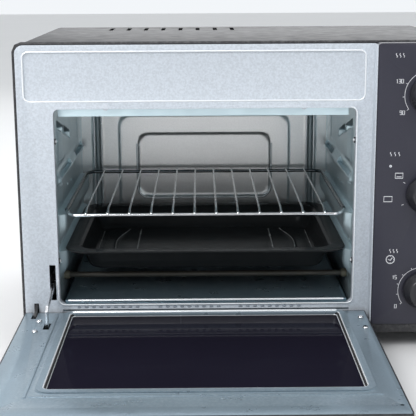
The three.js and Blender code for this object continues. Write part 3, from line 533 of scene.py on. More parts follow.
BUSHES = [(y, z) for y in (63.0, 200.0) for z in (16.0, 214.0)]
BUSH_HOLE = 5.4
RUNNER_REACH = 10.8
RUNNER_TOP_WIDTH = 12
RACK_RUNNER_FOOT = 34
TRAY_RUNNER_FOOT = 32
WINDOWS = ((34, 130), (180, 256))
WINDOW_BOTTOM, WINDOW_TOP = 134, 141
RIDGE_BOTTOM, RIDGE_TOP = 127, 145
RIDGE_HEIGHT = 4.6
SLOT_STARTS = ((42, 190), (101, 176))
SLOT_LENGTH = 52
SLOT_FALL = 14
SLOT_DEPTH = 6.5
FLUTE_START, FLUTE_CREST, FLUTE_END = 36, 58, 60
FLUTE_HEIGHT = 2.3
RIVETS = ((45.0, 60.5), (149.0, 110.3), (116.0, 111.7), (14.5, 44.0), (26.0, 177.5))


def runner(y, z, top, foot):
    """A rack runner pressed out of the wall: a level top and a face that falls back to it."""
    if z < top - foot:
        return 0.0
    rise = 1 - step(top - 0.6, top + 0.2, z)
    below = max(0.0, top - RUNNER_TOP_WIDTH - z) / (foot - RUNNER_TOP_WIDTH)
    ends = step(11, 24, y) * (1 - step(252, 262, y))
    return RUNNER_REACH * rise * (1 - below ** 2) * ends


def slanted_slot(y, z, y0, z0):
    """How deep a point is inside a slanted vent slot that starts at y0, z0."""
    along = (y - y0) / SLOT_LENGTH
    across = 1 - step(3.6, 4.6, abs(z - (z0 + 3 - SLOT_FALL * along)))
    return across * step(-0.02, 0.01, along) * (1 - step(0.99, 1.02, along))


def window(y, z, y0, y1):
    """A lanced window: the tongue behind it leans out from its upper edge."""
    if not (y0 < y < y1 and WINDOW_BOTTOM < z < WINDOW_TOP):
        return 0.0
    return 1.2 + 4.0 * (WINDOW_TOP - z) / (WINDOW_TOP - WINDOW_BOTTOM)


def wall_height(y, z):
    """How far the pressed wall stands in from its flat sheet."""
    h = 0.0
    # The field behind the front edge, a raised part above it and a sunk part at the rear.
    h -= 0.9 * step(20, 24, y) * (1 - step(262, 268, y)) * step(8, 14, z)
    h += 1.3 * hump(40, 94, y, 4) * hump(150, 186 - 0.25 * (y - 40), z, 4)
    h -= 0.9 * hump(182, 228, y, 5) * hump(150, 214, z, 4)
    # Two flutes, the ridge over the windows, the runners, the vent slots and the windows.
    flute = step(FLUTE_START, FLUTE_CREST, y) * (1 - step(FLUTE_CREST, FLUTE_END, y))
    h += FLUTE_HEIGHT * flute * hump(152, 184, z, 3)
    h += FLUTE_HEIGHT * flute * hump(106, 124, z, 3)
    ridge = max(0.0, min((RIDGE_TOP - z) / 13, (z - RIDGE_BOTTOM) / 3, 1.0))
    ridge_ends = step(26, 31, y) * (1 - step(257, 262, y))
    h += RIDGE_HEIGHT * ridge * ridge * (3 - 2 * ridge) * ridge_ends
    h += runner(y, z, RACK_LEVEL, RACK_RUNNER_FOOT)
    h += runner(y, z, TRAY_LEVEL, TRAY_RUNNER_FOOT)
    for y0, z0 in SLOT_STARTS:
        h -= SLOT_DEPTH * slanted_slot(y, z, y0, z0)
    return h - max(window(y, z, y0, y1) for y0, y1 in WINDOWS)


def wall_hole(y, z):
    """Whether the wall is cut away here for an element's bush."""
    half = BUSH_HOLE - 0.4
    return any(abs(y - a) < half and abs(z - b) < half for a, b in BUSHES)


# Grid lines on the edges of the windows, slots, runners and bush holes.
wall_ys = grid_lines(WALL_FRONT, CAVITY_END, 2.0, [
    11, 24, 33.99, 34.01, 129.99, 130.01, 179.99, 180.01, 255.99, 256.01, 57.9, 68.1, 194.9,
    205.1, 41.2, 42.4, 93.4, 94.6, 100.2, 101.4, 152.6, 153.8,
])
wall_zs = grid_lines(FLOOR_UNDERSIDE, CEILING, 1.2, [
    97.1, 97.4, 97.7, 97.9, 56.1, 56.4, 56.7, 56.9, 127, 130, 132, 133.99, 134.01, 140.99,
    141.01, 145, 10.9, 21.1, 208.9, 219.1,
])
for side, label in ((-1, "left"), (1, "right")):
    wall = pressed_sheet(
        wall_ys, wall_zs, wall_height,
        lambda y, z, h, s=side: (s * (WALL_INNER - h), y, z), hole=wall_hole,
    )
    for y, z in RIVETS:
        dome(wall, (side * (WALL_INNER + 0.6 - wall_height(y, z)), y, z), (-side, 0, 0), 1.7, 1.9)
    piece("cavity_wall_" + label + "_pressed", wall, "cavity_lining", "oven_body",
          ("cavity_wall_" + label,), angle=50)


# ------------------------------------------------------------ cavity's back

BACK = node_box("cavity_back")
BACK_FACE = 273.3
OUTER_PANEL = (-112, 112, 38, 171)
INNER_PANEL = (-87.5, 87.5, 62, 147.7)
PANEL_CORNER = 14
BEAD_OUTSET = 1.1


def back_height(x, z):
    """How far the pressed back stands forward of its flat sheet."""
    h = 0.0
    h += 1.6 * (1 - step(-1.6, 1.6, round_rect(x, z, *OUTER_PANEL, PANEL_CORNER)))
    h -= 2.6 * (1 - step(-2.4, 0.8, round_rect(x, z, *INNER_PANEL, PANEL_CORNER)))
    # Upright folds near both corners and a low strip at the foot.
    for side in (-1, 1):
        h += 2.4 * hump(144.2, 145.8, side * x, 1.6)
        h += 1.3 * hump(133.6, 134.8, side * x, 1.3)
    h += 1.0 * (1 - step(-1, 1, round_rect(x, z, -128, 128, 8, 20, 5)))
    return min(h, 3.0)


def near(values, offsets=(-2.4, -1.6, -0.8, 0, 0.8, 1.6)):
    """Grid lines on and beside each value."""
    return [v + o for v in values for o in offsets]


fold_xs = (132.3, 133.6, 134.8, 136.1, 142.6, 143.4, 144.2, 145, 145.8, 147.4)
back_xs = grid_lines(
    BACK[0].x, BACK[1].x, 2.6,
    near(OUTER_PANEL[:2] + INNER_PANEL[:2]) + [side * x for side in (-1, 1) for x in fold_xs],
)
back_zs = grid_lines(FLOOR_UNDERSIDE, CEILING, 2.6, near(OUTER_PANEL[2:] + INNER_PANEL[2:]))
piece(
    "cavity_back_pressed",
    pressed_sheet(
        back_xs, back_zs, back_height, lambda x, z, h: (x, BACK_FACE - h, z), thickness=0.9,
    ),
    "cavity_back", "oven_body", ("cavity_back",), angle=60,
)

# A near-white bead along the inner panel's sides and bottom: a painted highlight on the panel's
# pressed edge.
inner_line = corner_path(
    INNER_PANEL[0] - BEAD_OUTSET, INNER_PANEL[1] + BEAD_OUTSET, INNER_PANEL[2] - BEAD_OUTSET,
    INNER_PANEL[3] + BEAD_OUTSET, PANEL_CORNER + 1, 0.0, 10,
)
up_side = [(x, z) for x, z, _ in inner_line if z < 136]
left_half = sorted([p for p in up_side if p[0] < 0], key=lambda p: (-p[1], p[0]))
right_half = sorted([p for p in up_side if p[0] > 0], key=lambda p: (p[1], p[0]))
bm = bmesh.new()
tube(bm, [(x, BACK_FACE - 2.5, z) for x, z in left_half + right_half], 1.35, 10)
piece("back_panel_highlight_bead", bm, "cavity_back", "oven_body", angle=80, look=PAINTED_HIGHLIGHT)
POST_LEVELS = (2, 60, 140, CEILING - 2)
# Two near-white upright lines in each rear corner: painted highlights on the folds.
bm = bmesh.new()
for side in (-1, 1):
    for x, y, r in ((144.4, 266.4, 1.3), (135.0, 269.9, 1.1)):
        tube(bm, [(side * x, y, z) for z in POST_LEVELS], r, 10)
piece("rear_corner_highlight_lines", bm, "cavity_lining", "oven_body", angle=80, look=PAINTED_HIGHLIGHT)
bm = bmesh.new()
for side in (-1, 1):
    tube(bm, [(side * 140.4, 272.4, z) for z in POST_LEVELS], 3.4, 12)
piece("rear_corner_rolls", bm, "cavity_lining", "oven_body", angle=80, look=CORNER_SHADE)

# ------------------------------------------------------------------- rack

RACK = node_box("wire_rack")
RAIL = 2.1
WIRE = 1.15
REACH = 130.5
WIRES = 12
FRONT_DROP = 3.7
rail_z = RACK[0].z + RAIL
y_front = RACK[0].y + 1.0
y_rear = RACK[1].y - 1.0


def dropped(y, z):
    """The rack's front rail hangs a little lower than the wires it carries."""
    return z - FRONT_DROP * (1 - step(y_front + 2, y_front + 13, y))


CORNER_STEPS = 12
rim_path = [(x, y, dropped(y, z)) for x, y, z in corner_path(
    RACK[0].x + RAIL, RACK[1].x - RAIL, RACK[0].y + RAIL + 1.0, RACK[1].y - RAIL - 1.0, 14,
    rail_z, CORNER_STEPS,
)]
front_start = 2 * (CORNER_STEPS + 1) + 3
front_stop = 4 * (CORNER_STEPS + 1) - 4
bm = bmesh.new()
tube(bm, rim_path[front_start:front_stop + 1], RAIL, 14)
for i in range(WIRES):
    x = -REACH + 2 * REACH * i / (WIRES - 1)
    top = rail_z + RAIL - 0.35
    low_top = top - FRONT_DROP
    path = [
        (x, y_front + 0.15, rail_z + 0.9 - FRONT_DROP), (x, y_front + 0.5, low_top - 0.1),
        (x, y_front + 1.6, low_top + 0.55), (x, y_front + 4, low_top + 0.7),
        (x, y_front + 9, top - 0.8), (x, y_front + 16, top),
        (x, y_front + 60, top), (x, (y_front + y_rear) / 2, top), (x, y_rear - 60, top),
        (x, y_rear - 9, top), (x, y_rear - 4, top + 0.45), (x, y_rear - 1.6, top + 0.55),
        (x, y_rear - 0.5, top - 0.1), (x, y_rear - 0.15, rail_z + 0.9),
    ]
    widths = [1.6, 1.9, 1.85, 1.6, WIRE, WIRE, WIRE, WIRE, WIRE, WIRE, 1.4, 1.65, 1.7, 1.5]
    tube(bm, path, widths, 10)
piece("wire_rack_bent", bm, "chrome_wire", "rack", ("wire_rack",), angle=50)
# The side and rear rails take the darkened chrome: painted shade.
bm = bmesh.new()
tube(bm, rim_path[front_stop:] + rim_path[:front_start + 1], RAIL, 14)
piece("wire_rack_rim", bm, "chrome_wire", "rack", angle=50, look=PAINTED_SHADE_CHROME)

# ------------------------------------------------------------------- tray

TRAY = node_box("baking_tray")
RIM = TRAY[1].z
TRAY_BOTTOM = RIM - 26.0
TRAY_SHEET = 0.9
TRAY_SHEET_INSET = 0.55
STRAIGHT_RIB = 81
SIDE_RIB = 127


def tray_ring(inset, ends, radius, z, steps=12):
    return corner_path(
        TRAY[0].x + inset, TRAY[1].x - inset, TRAY[0].y + ends, TRAY[1].y - ends, radius, z,
        steps,
    )


def tray_skin(shift, lift):
    """Rings of the tray's inner or outer skin, from the rim's edge to the base."""
    rings = []
    for inset, ends, radius, z in (
        (1.2, 1.2, 25, RIM - 1.9), (0.35, 0.35, 26, RIM - 1.3), (0.1, 0.1, 26, RIM - 0.8),
        (0.5, 0.5, 26, RIM - 0.3), (1.5, 1.5, 25, RIM), (3.4, 3.6, 24, RIM - 0.35),
        (12.4, 16.0, 22, RIM - 0.7), (14.8, 18.6, 21.5, RIM - 1.6), (16.2, 20.2, 21, RIM - 4),
        (20.2, 24.2, 20, RIM - 16), (22.8, 26.8, 19, RIM - 23), (25.0, 29.0, 17, RIM - 25.4),
        (29.5, 33.5, 14, TRAY_BOTTOM),
    ):
        rings.append(tray_ring(inset + shift, ends + shift, max(3, radius - shift), z - lift))
    return rings


bm = bmesh.new()
inner = ring_loft(bm, tray_skin(0.0, 0.0), capped=False)
outer = ring_loft(bm, tray_skin(TRAY_SHEET_INSET, TRAY_SHEET), capped=False)
bridge(bm, inner[0], outer[0])
bm.faces.new(inner[-1])
bm.faces.new(outer[-1])
bmesh.ops.recalc_face_normals(bm, faces=bm.faces)
piece("baking_tray_pressed", bm, "enamel", "tray", ("baking_tray",), angle=40)


def hooked_rib(y):
    """How far out the bent rib of the tray's base runs at a depth."""
    return 101 + 7 * math.sin((y - 70) / 150 * math.pi * 1.15) - 5 * step(150, 205, y)


def tray_floor_height(x, y):
    """How far the ribs pressed in the tray's base stand up."""
    h = 0.0
    for side in (-1, 1):
        out = side * x
        h += 1.0 * hump(79.0, 80.2, out, 1.3) * hump(70, 200, y, 4)
        h += 1.0 * hump(125.2, 126.4, out, 1.3) * hump(70, 196, y, 4)
        bend = hooked_rib(y)
        h += 1.1 * hump(bend - 0.9, bend + 0.9, out, 1.4) * hump(74, 204, y, 4)
    return h


bm = pressed_sheet(
    grid_lines(-124, 124, 1.3), grid_lines(38, 212, 2.6), tray_floor_height,
    lambda x, y, h: (x, y, TRAY_BOTTOM + 0.02 + h), thickness=0.3,
)
piece("tray_base_pressing", bm, "enamel", "tray", angle=60)
# Light lines along the ribs: painted highlights on their crests.
bm = bmesh.new()
for side in (-1, 1):
    tube(bm, [
        (side * STRAIGHT_RIB, y, TRAY_BOTTOM + 0.9) for y in (72, 73, 76, 140, 200, 203, 204)
    ], [0.3, 0.7, 0.9, 0.9, 0.9, 0.7, 0.3], 8)
    tube(bm, [
        (side * hooked_rib(y), y, TRAY_BOTTOM + 1.0) for y in range(76, 205, 4)
    ], 0.55, 8)
    tube(bm, [(side * SIDE_RIB, y, TRAY_BOTTOM + 0.8) for y in (76, 100, 160, 196)], 0.5, 8)
piece("tray_base_rib_highlights", bm, "enamel", "tray", angle=80, look=RIB_HIGHLIGHT_PAINT)

# --------------------------------------------------------------- elements

for name in [f"element_{level}_{row}" for level in ("lower", "upper") for row in ("front", "rear")]:
    low, high = node_box(name)
    y, z = (low.y + high.y) / 2, (low.z + high.z) / 2
    radius = (high.z - low.z) / 2
    pin = 1.6
    bm = bmesh.new()
    profile = [
        (low.x, 1.1), (low.x + 0.5, pin), (low.x + 6.6, pin), (low.x + 7.0, radius * 0.8),
        (low.x + 7.6, radius), (low.x + 24, radius), (-60, radius), (60, radius),
        (high.x - 24, radius), (high.x - 7.6, radius), (high.x - 7.0, radius * 0.8),
        (high.x - 6.6, pin), (high.x - 0.5, pin), (high.x, 1.1),
    ]
    tube(bm, [(x, y, z) for x, _ in profile], [r for _, r in profile], 20)
    for side in (-1, 1):
        x = side * (WALL_INNER - 6.6)
        tube(bm, [(x + side * d, y, z) for d in (0, 0.3, 1.5, 1.8)],
             [radius, radius + 0.5, radius + 0.5, radius], 20)
    piece(name + "_tube", bm, "element_tube", "oven_body", (name,), angle=40)

for name in [n for n in frame["nodes"] if n.startswith("bush_")]:
    low, high = node_box(name)
    y, z = (low.y + high.y) / 2, (low.z + high.z) / 2
    side = 1 if low.x > 0 else -1
    inner_x = side * (WALL_INNER - 5.2)
    neck = 4.9
    bore = 3.6
    collar = 7.0
    out_x = side * (WALL_INNER + SHEET + 6)
    shape = [
        (inner_x + side * 0.6, bore), (inner_x, bore + 0.5), (inner_x + side * 0.2, neck - 0.4),
        (inner_x + side * 0.8, neck), (side * (WALL_INNER + 1.3), neck),
        (side * (WALL_INNER + 1.35), collar - 0.4), (side * (WALL_INNER + 1.9), collar),
        (out_x - side * 0.6, collar), (out_x, collar - 0.6), (out_x, bore + 0.4),
        (out_x - side * 0.5, bore),
    ]
    turn = [2 * math.pi * k / 24 for k in range(24)]
    bm = bmesh.new()
    rings = [
        [bm.verts.new((x, y + r * math.cos(a), z + r * math.sin(a))) for a in turn]
        for x, r in shape
    ]
    for a, b in zip(rings, rings[1:] + rings[:1]):
        bridge(bm, a, b)
    bmesh.ops.recalc_face_normals(bm, faces=bm.faces)
    piece(name + "_fired", bm, "ceramic", "oven_body", (name,), angle=40)

# ------------------------------------------------------------ door spring

COIL_X = -179.0
TURNS = 42
STEPS = 14
HOOK = 8.0
COIL_RADIUS = 2.9
COIL_WIRE = 0.55
start = Vector((COIL_X, 22.0, 16.8))
end = Vector((COIL_X, 116.0, -12.0))
axis = (end - start).normalized()
side_axis = Vector((1, 0, 0))
up_axis = axis.cross(side_axis).normalized()
length = (end - start).length
path = [start + axis * (HOOK * i / 5 * 0.8) + up_axis * (0.4 * i / 5) for i in range(6)]
for i in range(TURNS * STEPS + 1):
    a = 2 * math.pi * i / STEPS
    grow = min(1.0, i / STEPS, (TURNS * STEPS - i) / STEPS)
    path.append(
        start + axis * (HOOK + (length - 2 * HOOK) * i / (TURNS * STEPS))
        + (side_axis * math.cos(a) + up_axis * math.sin(a)) * (COIL_RADIUS * (0.15 + 0.85 * grow))
    )
path += [end - axis * (HOOK * (5 - i) / 5 * 0.8) for i in range(6)]
bm = bmesh.new()
tube(bm, path, COIL_WIRE, 6)
piece("door_spring_coil", bm, "bright_steel", "oven_body", ("door_spring",), angle=60)

# ------------------------------------------------------------ finished CAD

ROUNDED = {
    "front_frame": 0.35, "outer_casing": 0.3, "back_cover": 0.3, "base_plate": 0.3,
    "control_fascia": 0.6, "door_shell": 0.35, "door_inner": 0.35, "door_glass": 0.5,
    "cavity_ceiling": 0.3, "cavity_floor": 0.4, "crumb_tray": 0.25, "door_handle": 0.8,
    "hinge_bracket": 0.3, "hinge_link": 0.45, "heat_shield": 0.3, "terminal_block": 0.5,
    "function_switch": 0.5, "thermostat": 0.5, "spring_anchor": 0.2, "control_bracket": 0.2,
    "knob_timer": 0.4, "knob_function": 0.4, "knob_temperature": 0.4, "timer_unit": 0.4,
    "timer_bell": 0.3, "lamp_lens": 0.3, "foot_1": 0.6, "foot_2": 0.6, "foot_3": 0.6,
    "foot_4": 0.6, "cord_gland": 0.3, "door_screw_1": 0.25, "door_screw_2": 0.25,
    "door_screw_3": 0.25, "door_screw_4": 0.25, "hinge_pin_left": 0.3, "hinge_pin_right": 0.3,
    "link_pin": 0.25, "thermostat_bulb": 0.25, "shaft_timer": 0.3, "shaft_function": 0.3,
    "shaft_temperature": 0.3,
}
for name, width in ROUNDED.items():
    refined(name, width, look=OXIDE if name == "hinge_bracket" else None)

# ------------------------------------------------- opening's and header's painted highlight beads


def upright_loop(x0, x1, z0, z1, radius, y, steps=10):
    """A closed path round an upright rectangle with round corners, facing the front."""
    return [(x, y, z) for x, z, _ in corner_path(x0, x1, z0, z1, radius, 0.0, steps)]


# The lip's painted highlight line runs from low on the left, along the bottom and up the right
# side.
LIP_BEAD = (-160.9, 160.9, -0.1, 215.9)
LIP_BEAD_Y = -0.7
HEADER_BEAD = (-190.4, 168.9, 223.0, 275.0)
LIP_STUDS = ((-159.7, 49.5), (159.7, 48.2), (-159.7, 180.5), (159.7, 180.5))
bm = bmesh.new()
whole_lip = upright_loop(*LIP_BEAD, 6.9, LIP_BEAD_Y)
tube(bm, [(LIP_BEAD[0], LIP_BEAD_Y, 34)] + whole_lip[22:] + whole_lip[:11], 0.75, 8)
piece("opening_lip_highlight", bm, "front_frame", "oven_body", angle=80, look=PAINTED_HIGHLIGHT)
# A near-white ring round the header's recess: a painted highlight on its edge.
bm = bmesh.new()
tube(bm, upright_loop(*HEADER_BEAD, 6.6, 0.45), 1.05, 8, closed=True)
piece("header_highlight_bead", bm, "front_frame", "oven_body", angle=80, look=PAINTED_HIGHLIGHT)

# The studs take the near-white paint: a painted glint on each.
studs = bmesh.new()
collars = bmesh.new()
for x, z in LIP_STUDS:
    side = 1 if x < 0 else -1
    dome(studs, (x + side * 0.6, 1.4, z), (side, -0.8, 0), 2.1, 1.9)
    ring = [(x + side * 0.75, 1.6 + 2.5 * math.cos(a), z + 2.6 * math.sin(a))
            for a in (2 * math.pi * k / 20 for k in range(20))]
    tube(collars, ring, 0.7, 6, closed=True)
piece("lip_studs", studs, "bright_steel", "oven_body", angle=60, look=PAINTED_HIGHLIGHT)
piece("lip_stud_collars", collars, "black_sheet", "oven_body", angle=80)

# ------------------------------------------------------------ door's window

DOOR_FACE = node_box("door_inner")[1].z
DOOR_WINDOW = (-148.2, 145.0, -224.0, -9.6)
DOOR_WINDOW_CORNER = 7.0
DOOR_ROLL_XS = (-146.6, -146.2, -144.5, 0, 141.5, 143.2, 143.6)


def window_line(inset, z):
    """A closed path round the door's window, inside its edge by the inset."""
    x0, x1, y0, y1 = DOOR_WINDOW
    return corner_path(
        x0 + inset, x1 - inset, y0 + inset, y1 - inset, DOOR_WINDOW_CORNER - inset, z,
    )


bm = bmesh.new()
ring_loft(bm, [
    window_line(inset, z) for inset, z in (
        (-6.2, DOOR_FACE + 0.06), (-3.0, DOOR_FACE + 0.1), (0.2, DOOR_FACE + 0.06),
        (0.2, DOOR_FACE - 2.2), (-6.2, DOOR_FACE - 1.0), (-6.2, DOOR_FACE + 0.06),
    )
], capped=False)
bmesh.ops.remove_doubles(bm, verts=bm.verts, dist=0.001)
bmesh.ops.recalc_face_normals(bm, faces=bm.faces)
piece("door_window_flange", bm, "door_inner", "door", angle=60)
# Near-white rings round the glass and a roll at the door's near edge: painted highlights.
bm = bmesh.new()
tube(bm, window_line(0.3, DOOR_FACE - 0.85), 0.95, 10, closed=True)
tube(bm, window_line(2.9, DOOR_FACE - 3.3), 0.6, 8, closed=True)
tube(bm, [(x, -6.9, DOOR_FACE - 1.1) for x in DOOR_ROLL_XS],
     [0.8, 1.6, 2.3, 2.3, 2.3, 1.6, 0.8], 16)
piece("door_window_highlight_beads", bm, "door_inner", "door", angle=80, look=PAINTED_HIGHLIGHT)
bm = bmesh.new()
tube(bm, window_line(1.6, DOOR_FACE - 1.9), 1.3, 10, closed=True)
piece("door_window_gasket", bm, "rubber_foot", "door", angle=80)

# ---------------------------------------------- sill, crumb tray and casing

SILL_MARK_STARTS = (-139, -50, 38)
SILL_MARKS = 9
SILL_MARK_PITCH = 8
bm = bmesh.new()
for first in SILL_MARK_STARTS:
    for i in range(SILL_MARKS):
        x = first + SILL_MARK_PITCH * i
        tube(bm, [(x + d, 0.3, -3.2) for d in (-2.0, -1.4, 1.4, 2.0)], [0.3, 0.9, 0.9, 0.3], 8)
piece("sill_dimple_marks", bm, "front_frame", "oven_body", angle=80, look=DIMPLE_SHADE)

CRUMB = node_box("crumb_tray")
# A near-white bar on the crumb tray's front edge: a painted highlight on its lip.
bm = bmesh.new()
lip_z = CRUMB[1].z - 0.5
tube(bm, [(x, CRUMB[0].y + 0.8, lip_z) for x in (
    CRUMB[0].x + 2, CRUMB[0].x + 2.6, CRUMB[0].x + 4, 0, CRUMB[1].x - 4, CRUMB[1].x - 2.6,
    CRUMB[1].x - 2,
)], [0.4, 0.8, 1.1, 1.1, 1.1, 0.8, 0.4], 12)
piece("crumb_tray_lip_highlight", bm, "crumb_tray", "crumb_drawer", angle=80, look=PAINTED_HIGHLIGHT)

CASING = node_box("outer_casing")
FRAME = node_box("front_frame")
edge_y = 2.4
edge_x = FRAME[0].x - 1.2
bm = bmesh.new()
tube(bm, [
    (edge_x, edge_y, CASING[0].z + 2), (edge_x, edge_y, CASING[1].z - 8),
    (FRAME[0].x + 1.4, edge_y, CASING[1].z - 2.2), (FRAME[0].x + 7, edge_y, CASING[1].z + 0.1),
    (CASING[1].x - 10, edge_y, CASING[1].z + 0.1),
], 1.9, 12)
piece("casing_rolled_edge", bm, "black_sheet", "oven_body", angle=60)

# ------------------------------------------------------------ panel prints

PRINT_DEPTH = 0.12
prints = bmesh.new()


def stroke(points, width, closed=False):
    """A flat printed line on the panel, along places in the panel's plane."""
    flat = [Vector(p) for p in points]
    count = len(flat)
    left, right = [], []
    for i, p in enumerate(flat):
        if closed:
            heading = flat[(i + 1) % count] - flat[i - 1]
        else:
            heading = flat[min(i + 1, count - 1)] - flat[max(i - 1, 0)]
        normal = Vector((-heading.y, heading.x)).normalized() * width / 2
        left.append(p + normal)
        right.append(p - normal)
    front, back = [], []
    for a, b in zip(left, right):
        front.append([prints.verts.new((q.x, PANEL - PRINT_DEPTH, q.y)) for q in (a, b)])
        back.append([prints.verts.new((q.x, PANEL + 0.3, q.y)) for q in (a, b)])
    for i in range(count if closed else count - 1):
        n = (i + 1) % count
        prints.faces.new((front[i][0], front[n][0], front[n][1], front[i][1]))
        prints.faces.new((back[i][1], back[n][1], back[n][0], back[i][0]))
        prints.faces.new((front[i][0], back[i][0], back[n][0], front[n][0]))
        prints.faces.new((front[i][1], front[n][1], back[n][1], back[i][1]))
    if not closed:
        prints.faces.new((front[0][0], front[0][1], back[0][1], back[0][0]))
        prints.faces.new((front[-1][1], front[-1][0], back[-1][0], back[-1][1]))


def circle(x, z, radius, start=0, stop=360, steps=40):
    return [
        (x + radius * math.cos(math.radians(start + (stop - start) * i / steps)),
         z + radius * math.sin(math.radians(start + (stop - start) * i / steps)))
        for i in range(steps + (0 if stop - start == 360 else 1))
    ]


DIGITS = {
    "0": [[(0, 0), (1, 0), (1, 2), (0, 2), (0, 0)]],
    "1": [[(0.3, 1.6), (0.7, 2), (0.7, 0)]],
    "2": [[(0, 2), (1, 2), (1, 1), (0, 1), (0, 0), (1, 0)]],
    "3": [[(0, 2), (1, 2), (1, 0), (0, 0)], [(0.2, 1), (1, 1)]],
    "4": [[(0, 2), (0, 1), (1, 1)], [(1, 2), (1, 0)]],
    "5": [[(1, 2), (0, 2), (0, 1), (1, 1), (1, 0), (0, 0)]],
    "6": [[(1, 2), (0, 2), (0, 0), (1, 0), (1, 1), (0, 1)]],
    "7": [[(0, 2), (1, 2), (0.4, 0)]],
    "8": [[(0, 0), (1, 0), (1, 2), (0, 2), (0, 0)], [(0, 1), (1, 1)]],
    "9": [[(1, 1), (0, 1), (0, 2), (1, 2), (1, 0), (0, 0)]],
}


ARC_RADIUS = 25.0
TICK_END = 27.2
SCALE_START, SCALE_STOP = 215, -35


def number(text, x, z, size):
    """Digits centred on a place, size high."""
    pitch = size * 0.72
    left = x - pitch * (len(text) - 1) / 2 - size / 4
    for i, digit in enumerate(text):
        for line in DIGITS[digit]:
            stroke([
                (left + i * pitch + u * size / 2, z - size / 2 + v * size / 2) for u, v in line
            ], size * 0.16)


def dial(z, labels, start, stop, ticks):
    """A scale round a knob: an arc, its ticks and its numbers, clockwise from start to stop."""
    stroke(circle(DIAL_X, z, ARC_RADIUS, start, stop, 60), 0.5)
    for i in range(ticks):
        a = math.radians(start + (stop - start) * i / (ticks - 1))
        stroke([
            (DIAL_X + r * math.cos(a), z + r * math.sin(a)) for r in (ARC_RADIUS, TICK_END)
        ], 0.5)
    for i, text in enumerate(labels):
        a = math.radians(start + (stop - start) * i / (len(labels) - 1))
        reach = 33.0 + (1.6 if len(text) > 2 else 0)
        number(text, DIAL_X + reach * math.cos(a), z + 31.5 * math.sin(a), 4.0)


def clock_icon(x, z, radius):
    stroke(circle(x, z, radius, steps=32), 0.8, closed=True)
    stroke([(x - radius * 0.45, z + radius * 0.05), (x, z - radius * 0.25),
            (x + radius * 0.5, z + radius * 0.45)], 0.8)
    for a in (0, 90, 180, 270):
        c, s = math.cos(math.radians(a)), math.sin(math.radians(a))
        stroke([
            (x + c * radius * 0.72, z + s * radius * 0.72), (x + c * radius, z + s * radius)
        ], 0.5)


def box_icon(x, z, width, height, top=False, bottom=False):
    stroke([(x - width / 2, z - height / 2), (x + width / 2, z - height / 2),
            (x + width / 2, z + height / 2), (x - width / 2, z + height / 2)], 0.8, closed=True)
    for shown, edge in ((top, 1), (bottom, -1)):
        if shown:
            level = z + edge * height * 0.22
            stroke([(x - width * 0.32, level), (x + width * 0.32, level)], 0.7)


def wave_icon(x, z, width):
    """Three short heat waves, in the place of a caption."""
    for k in (-1, 0, 1):
        cx = x + k * width / 3
        stroke([
            (cx + 0.7 * math.sin(t * math.pi / 3), z - 2.1 + t * 0.7) for t in range(7)
        ], 0.6)


dial(DIALS["timer"], ["0", "15", "30", "45", "60"], SCALE_START, SCALE_STOP, 11)
dial(DIALS["temperature"], ["90", "130", "170", "210", "250"], SCALE_START, SCALE_STOP, 9)
for angle in (205, 150, 90, 30, -25):
    a = math.radians(angle)
    stroke([
        (DIAL_X + r * math.cos(a), DIALS["function"] + r * math.sin(a)) for r in (24.5, 26.8)
    ], 0.6)
box_icon(192.6, 120.4, 8.6, 5.6)
box_icon(203.5, 145.5, 8.0, 5.4, bottom=True)
box_icon(DIAL_X, 158.0, 8.0, 5.4, top=True)
box_icon(259.5, 145.5, 8.0, 5.4, top=True, bottom=True)
stroke(circle(194.3, 155.7, 0.9, steps=12), 1.0, closed=True)
clock_icon(197.2, 54.3, 4.4)
wave_icon(198.5, 168.5, 13)
wave_icon(200.5, 63.6, 11)
wave_icon(200.5, 271.0, 11)
bmesh.ops.recalc_face_normals(prints, faces=prints.faces)
piece("panel_prints", prints, "fascia", "oven_body", angle=30, look=PRINT)

# ------------------------------------------------------------- surroundings

FLOOR_REACH = 9.0
floor_mesh = bpy.data.meshes.new("floor")
floor_mesh.from_pydata(
    [(x, y, 0) for x, y in (
        (-FLOOR_REACH, -FLOOR_REACH), (FLOOR_REACH, -FLOOR_REACH),
        (FLOOR_REACH, FLOOR_REACH), (-FLOOR_REACH, FLOOR_REACH),
    )], [], [(0, 1, 2, 3)],
)
floor = bpy.data.objects.new("floor", floor_mesh)
bpy.context.scene.collection.objects.link(floor)
floor_mesh.materials.append(
    surface("pale_floor", (0.88, 0.88, 0.88), 0.0, 0.6, vary=0.01, vary_scale=3),
)


def softbox(name, place, target, width, height, power, colour=(1, 1, 1)):
    data = bpy.data.lights.new(name, "AREA")
    data.shape = "RECTANGLE"
    data.size = width
    data.size_y = height
    data.energy = power
    data.color = colour
    made = bpy.data.objects.new(name, data)
    bpy.context.scene.collection.objects.link(made)
    made.location = place
    made.rotation_mode = "QUATERNION"
    made.rotation_quaternion = (target - Vector(place)).to_track_quat("-Z", "Y")


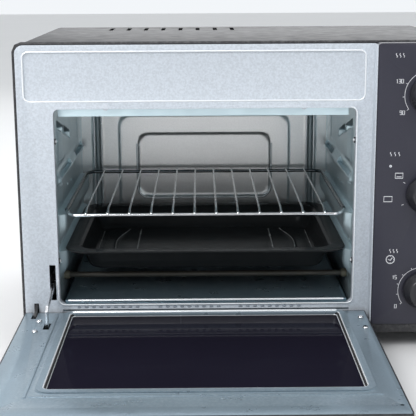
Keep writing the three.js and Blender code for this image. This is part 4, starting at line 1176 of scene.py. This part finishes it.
middle = at(0, 100, 110)
softbox("key_softbox", (-1.0, -1.35, 1.55), middle, 1.1, 0.9, 27, (1.0, 0.99, 1.0))
softbox("fill_softbox", (1.15, -1.35, 1.30), middle, 0.9, 0.9, 6.5, (0.93, 0.97, 1.0))
softbox("top_softbox", (0.0, 0.1, 1.9), middle, 2.0, 1.6, 9)
softbox("rear_softbox", (0.3, 1.9, 1.2), middle, 1.8, 1.2, 9)

# The room is bright behind and above the oven and dimmer in front of it.
world = bpy.data.worlds.new("studio")
bpy.context.scene.world = world
world.use_nodes = True
room = world.node_tree
backdrop = room.nodes["Background"]
backdrop.inputs["Color"].default_value = (0.94, 0.97, 1.0, 1.0)
facing = room.nodes.new("ShaderNodeSeparateXYZ")
room.links.new(room.nodes.new("ShaderNodeTexCoord").outputs["Generated"], facing.inputs[0])
front_glow = spread(room, facing.outputs["Y"], 0.45, 0.95, -0.35, 0.35)
room.links.new(front_glow, backdrop.inputs["Strength"])

# The camera stands in front of the opening and looks a little down.
CAMERA_PLACE = (-4.88, -1099.99, 357.76)
CAMERA_LENS = 90.77
PITCH = math.radians(12.811)
YAW = math.radians(-0.399)
ROLL = math.radians(-0.318)

camera_data = bpy.data.cameras.new("camera")
camera_data.sensor_width = 36
camera_data.lens = CAMERA_LENS
camera_data.clip_start = 0.05
camera_data.clip_end = 50
camera = bpy.data.objects.new("camera", camera_data)
bpy.context.scene.collection.objects.link(camera)
right = Vector((math.cos(YAW), math.sin(YAW), 0))
ahead = Vector((
    -math.sin(YAW) * math.cos(PITCH), math.cos(YAW) * math.cos(PITCH), -math.sin(PITCH),
))
up = right.cross(ahead)
rolled_right = right * math.cos(ROLL) + up * math.sin(ROLL)
rolled_up = up * math.cos(ROLL) - right * math.sin(ROLL)
turn = Matrix((rolled_right, rolled_up, -ahead)).transposed()
camera.matrix_world = Matrix.Translation(at(*CAMERA_PLACE)) @ turn.to_4x4()
bpy.context.scene.camera = camera
bpy.context.scene.view_settings.view_transform = "Standard"
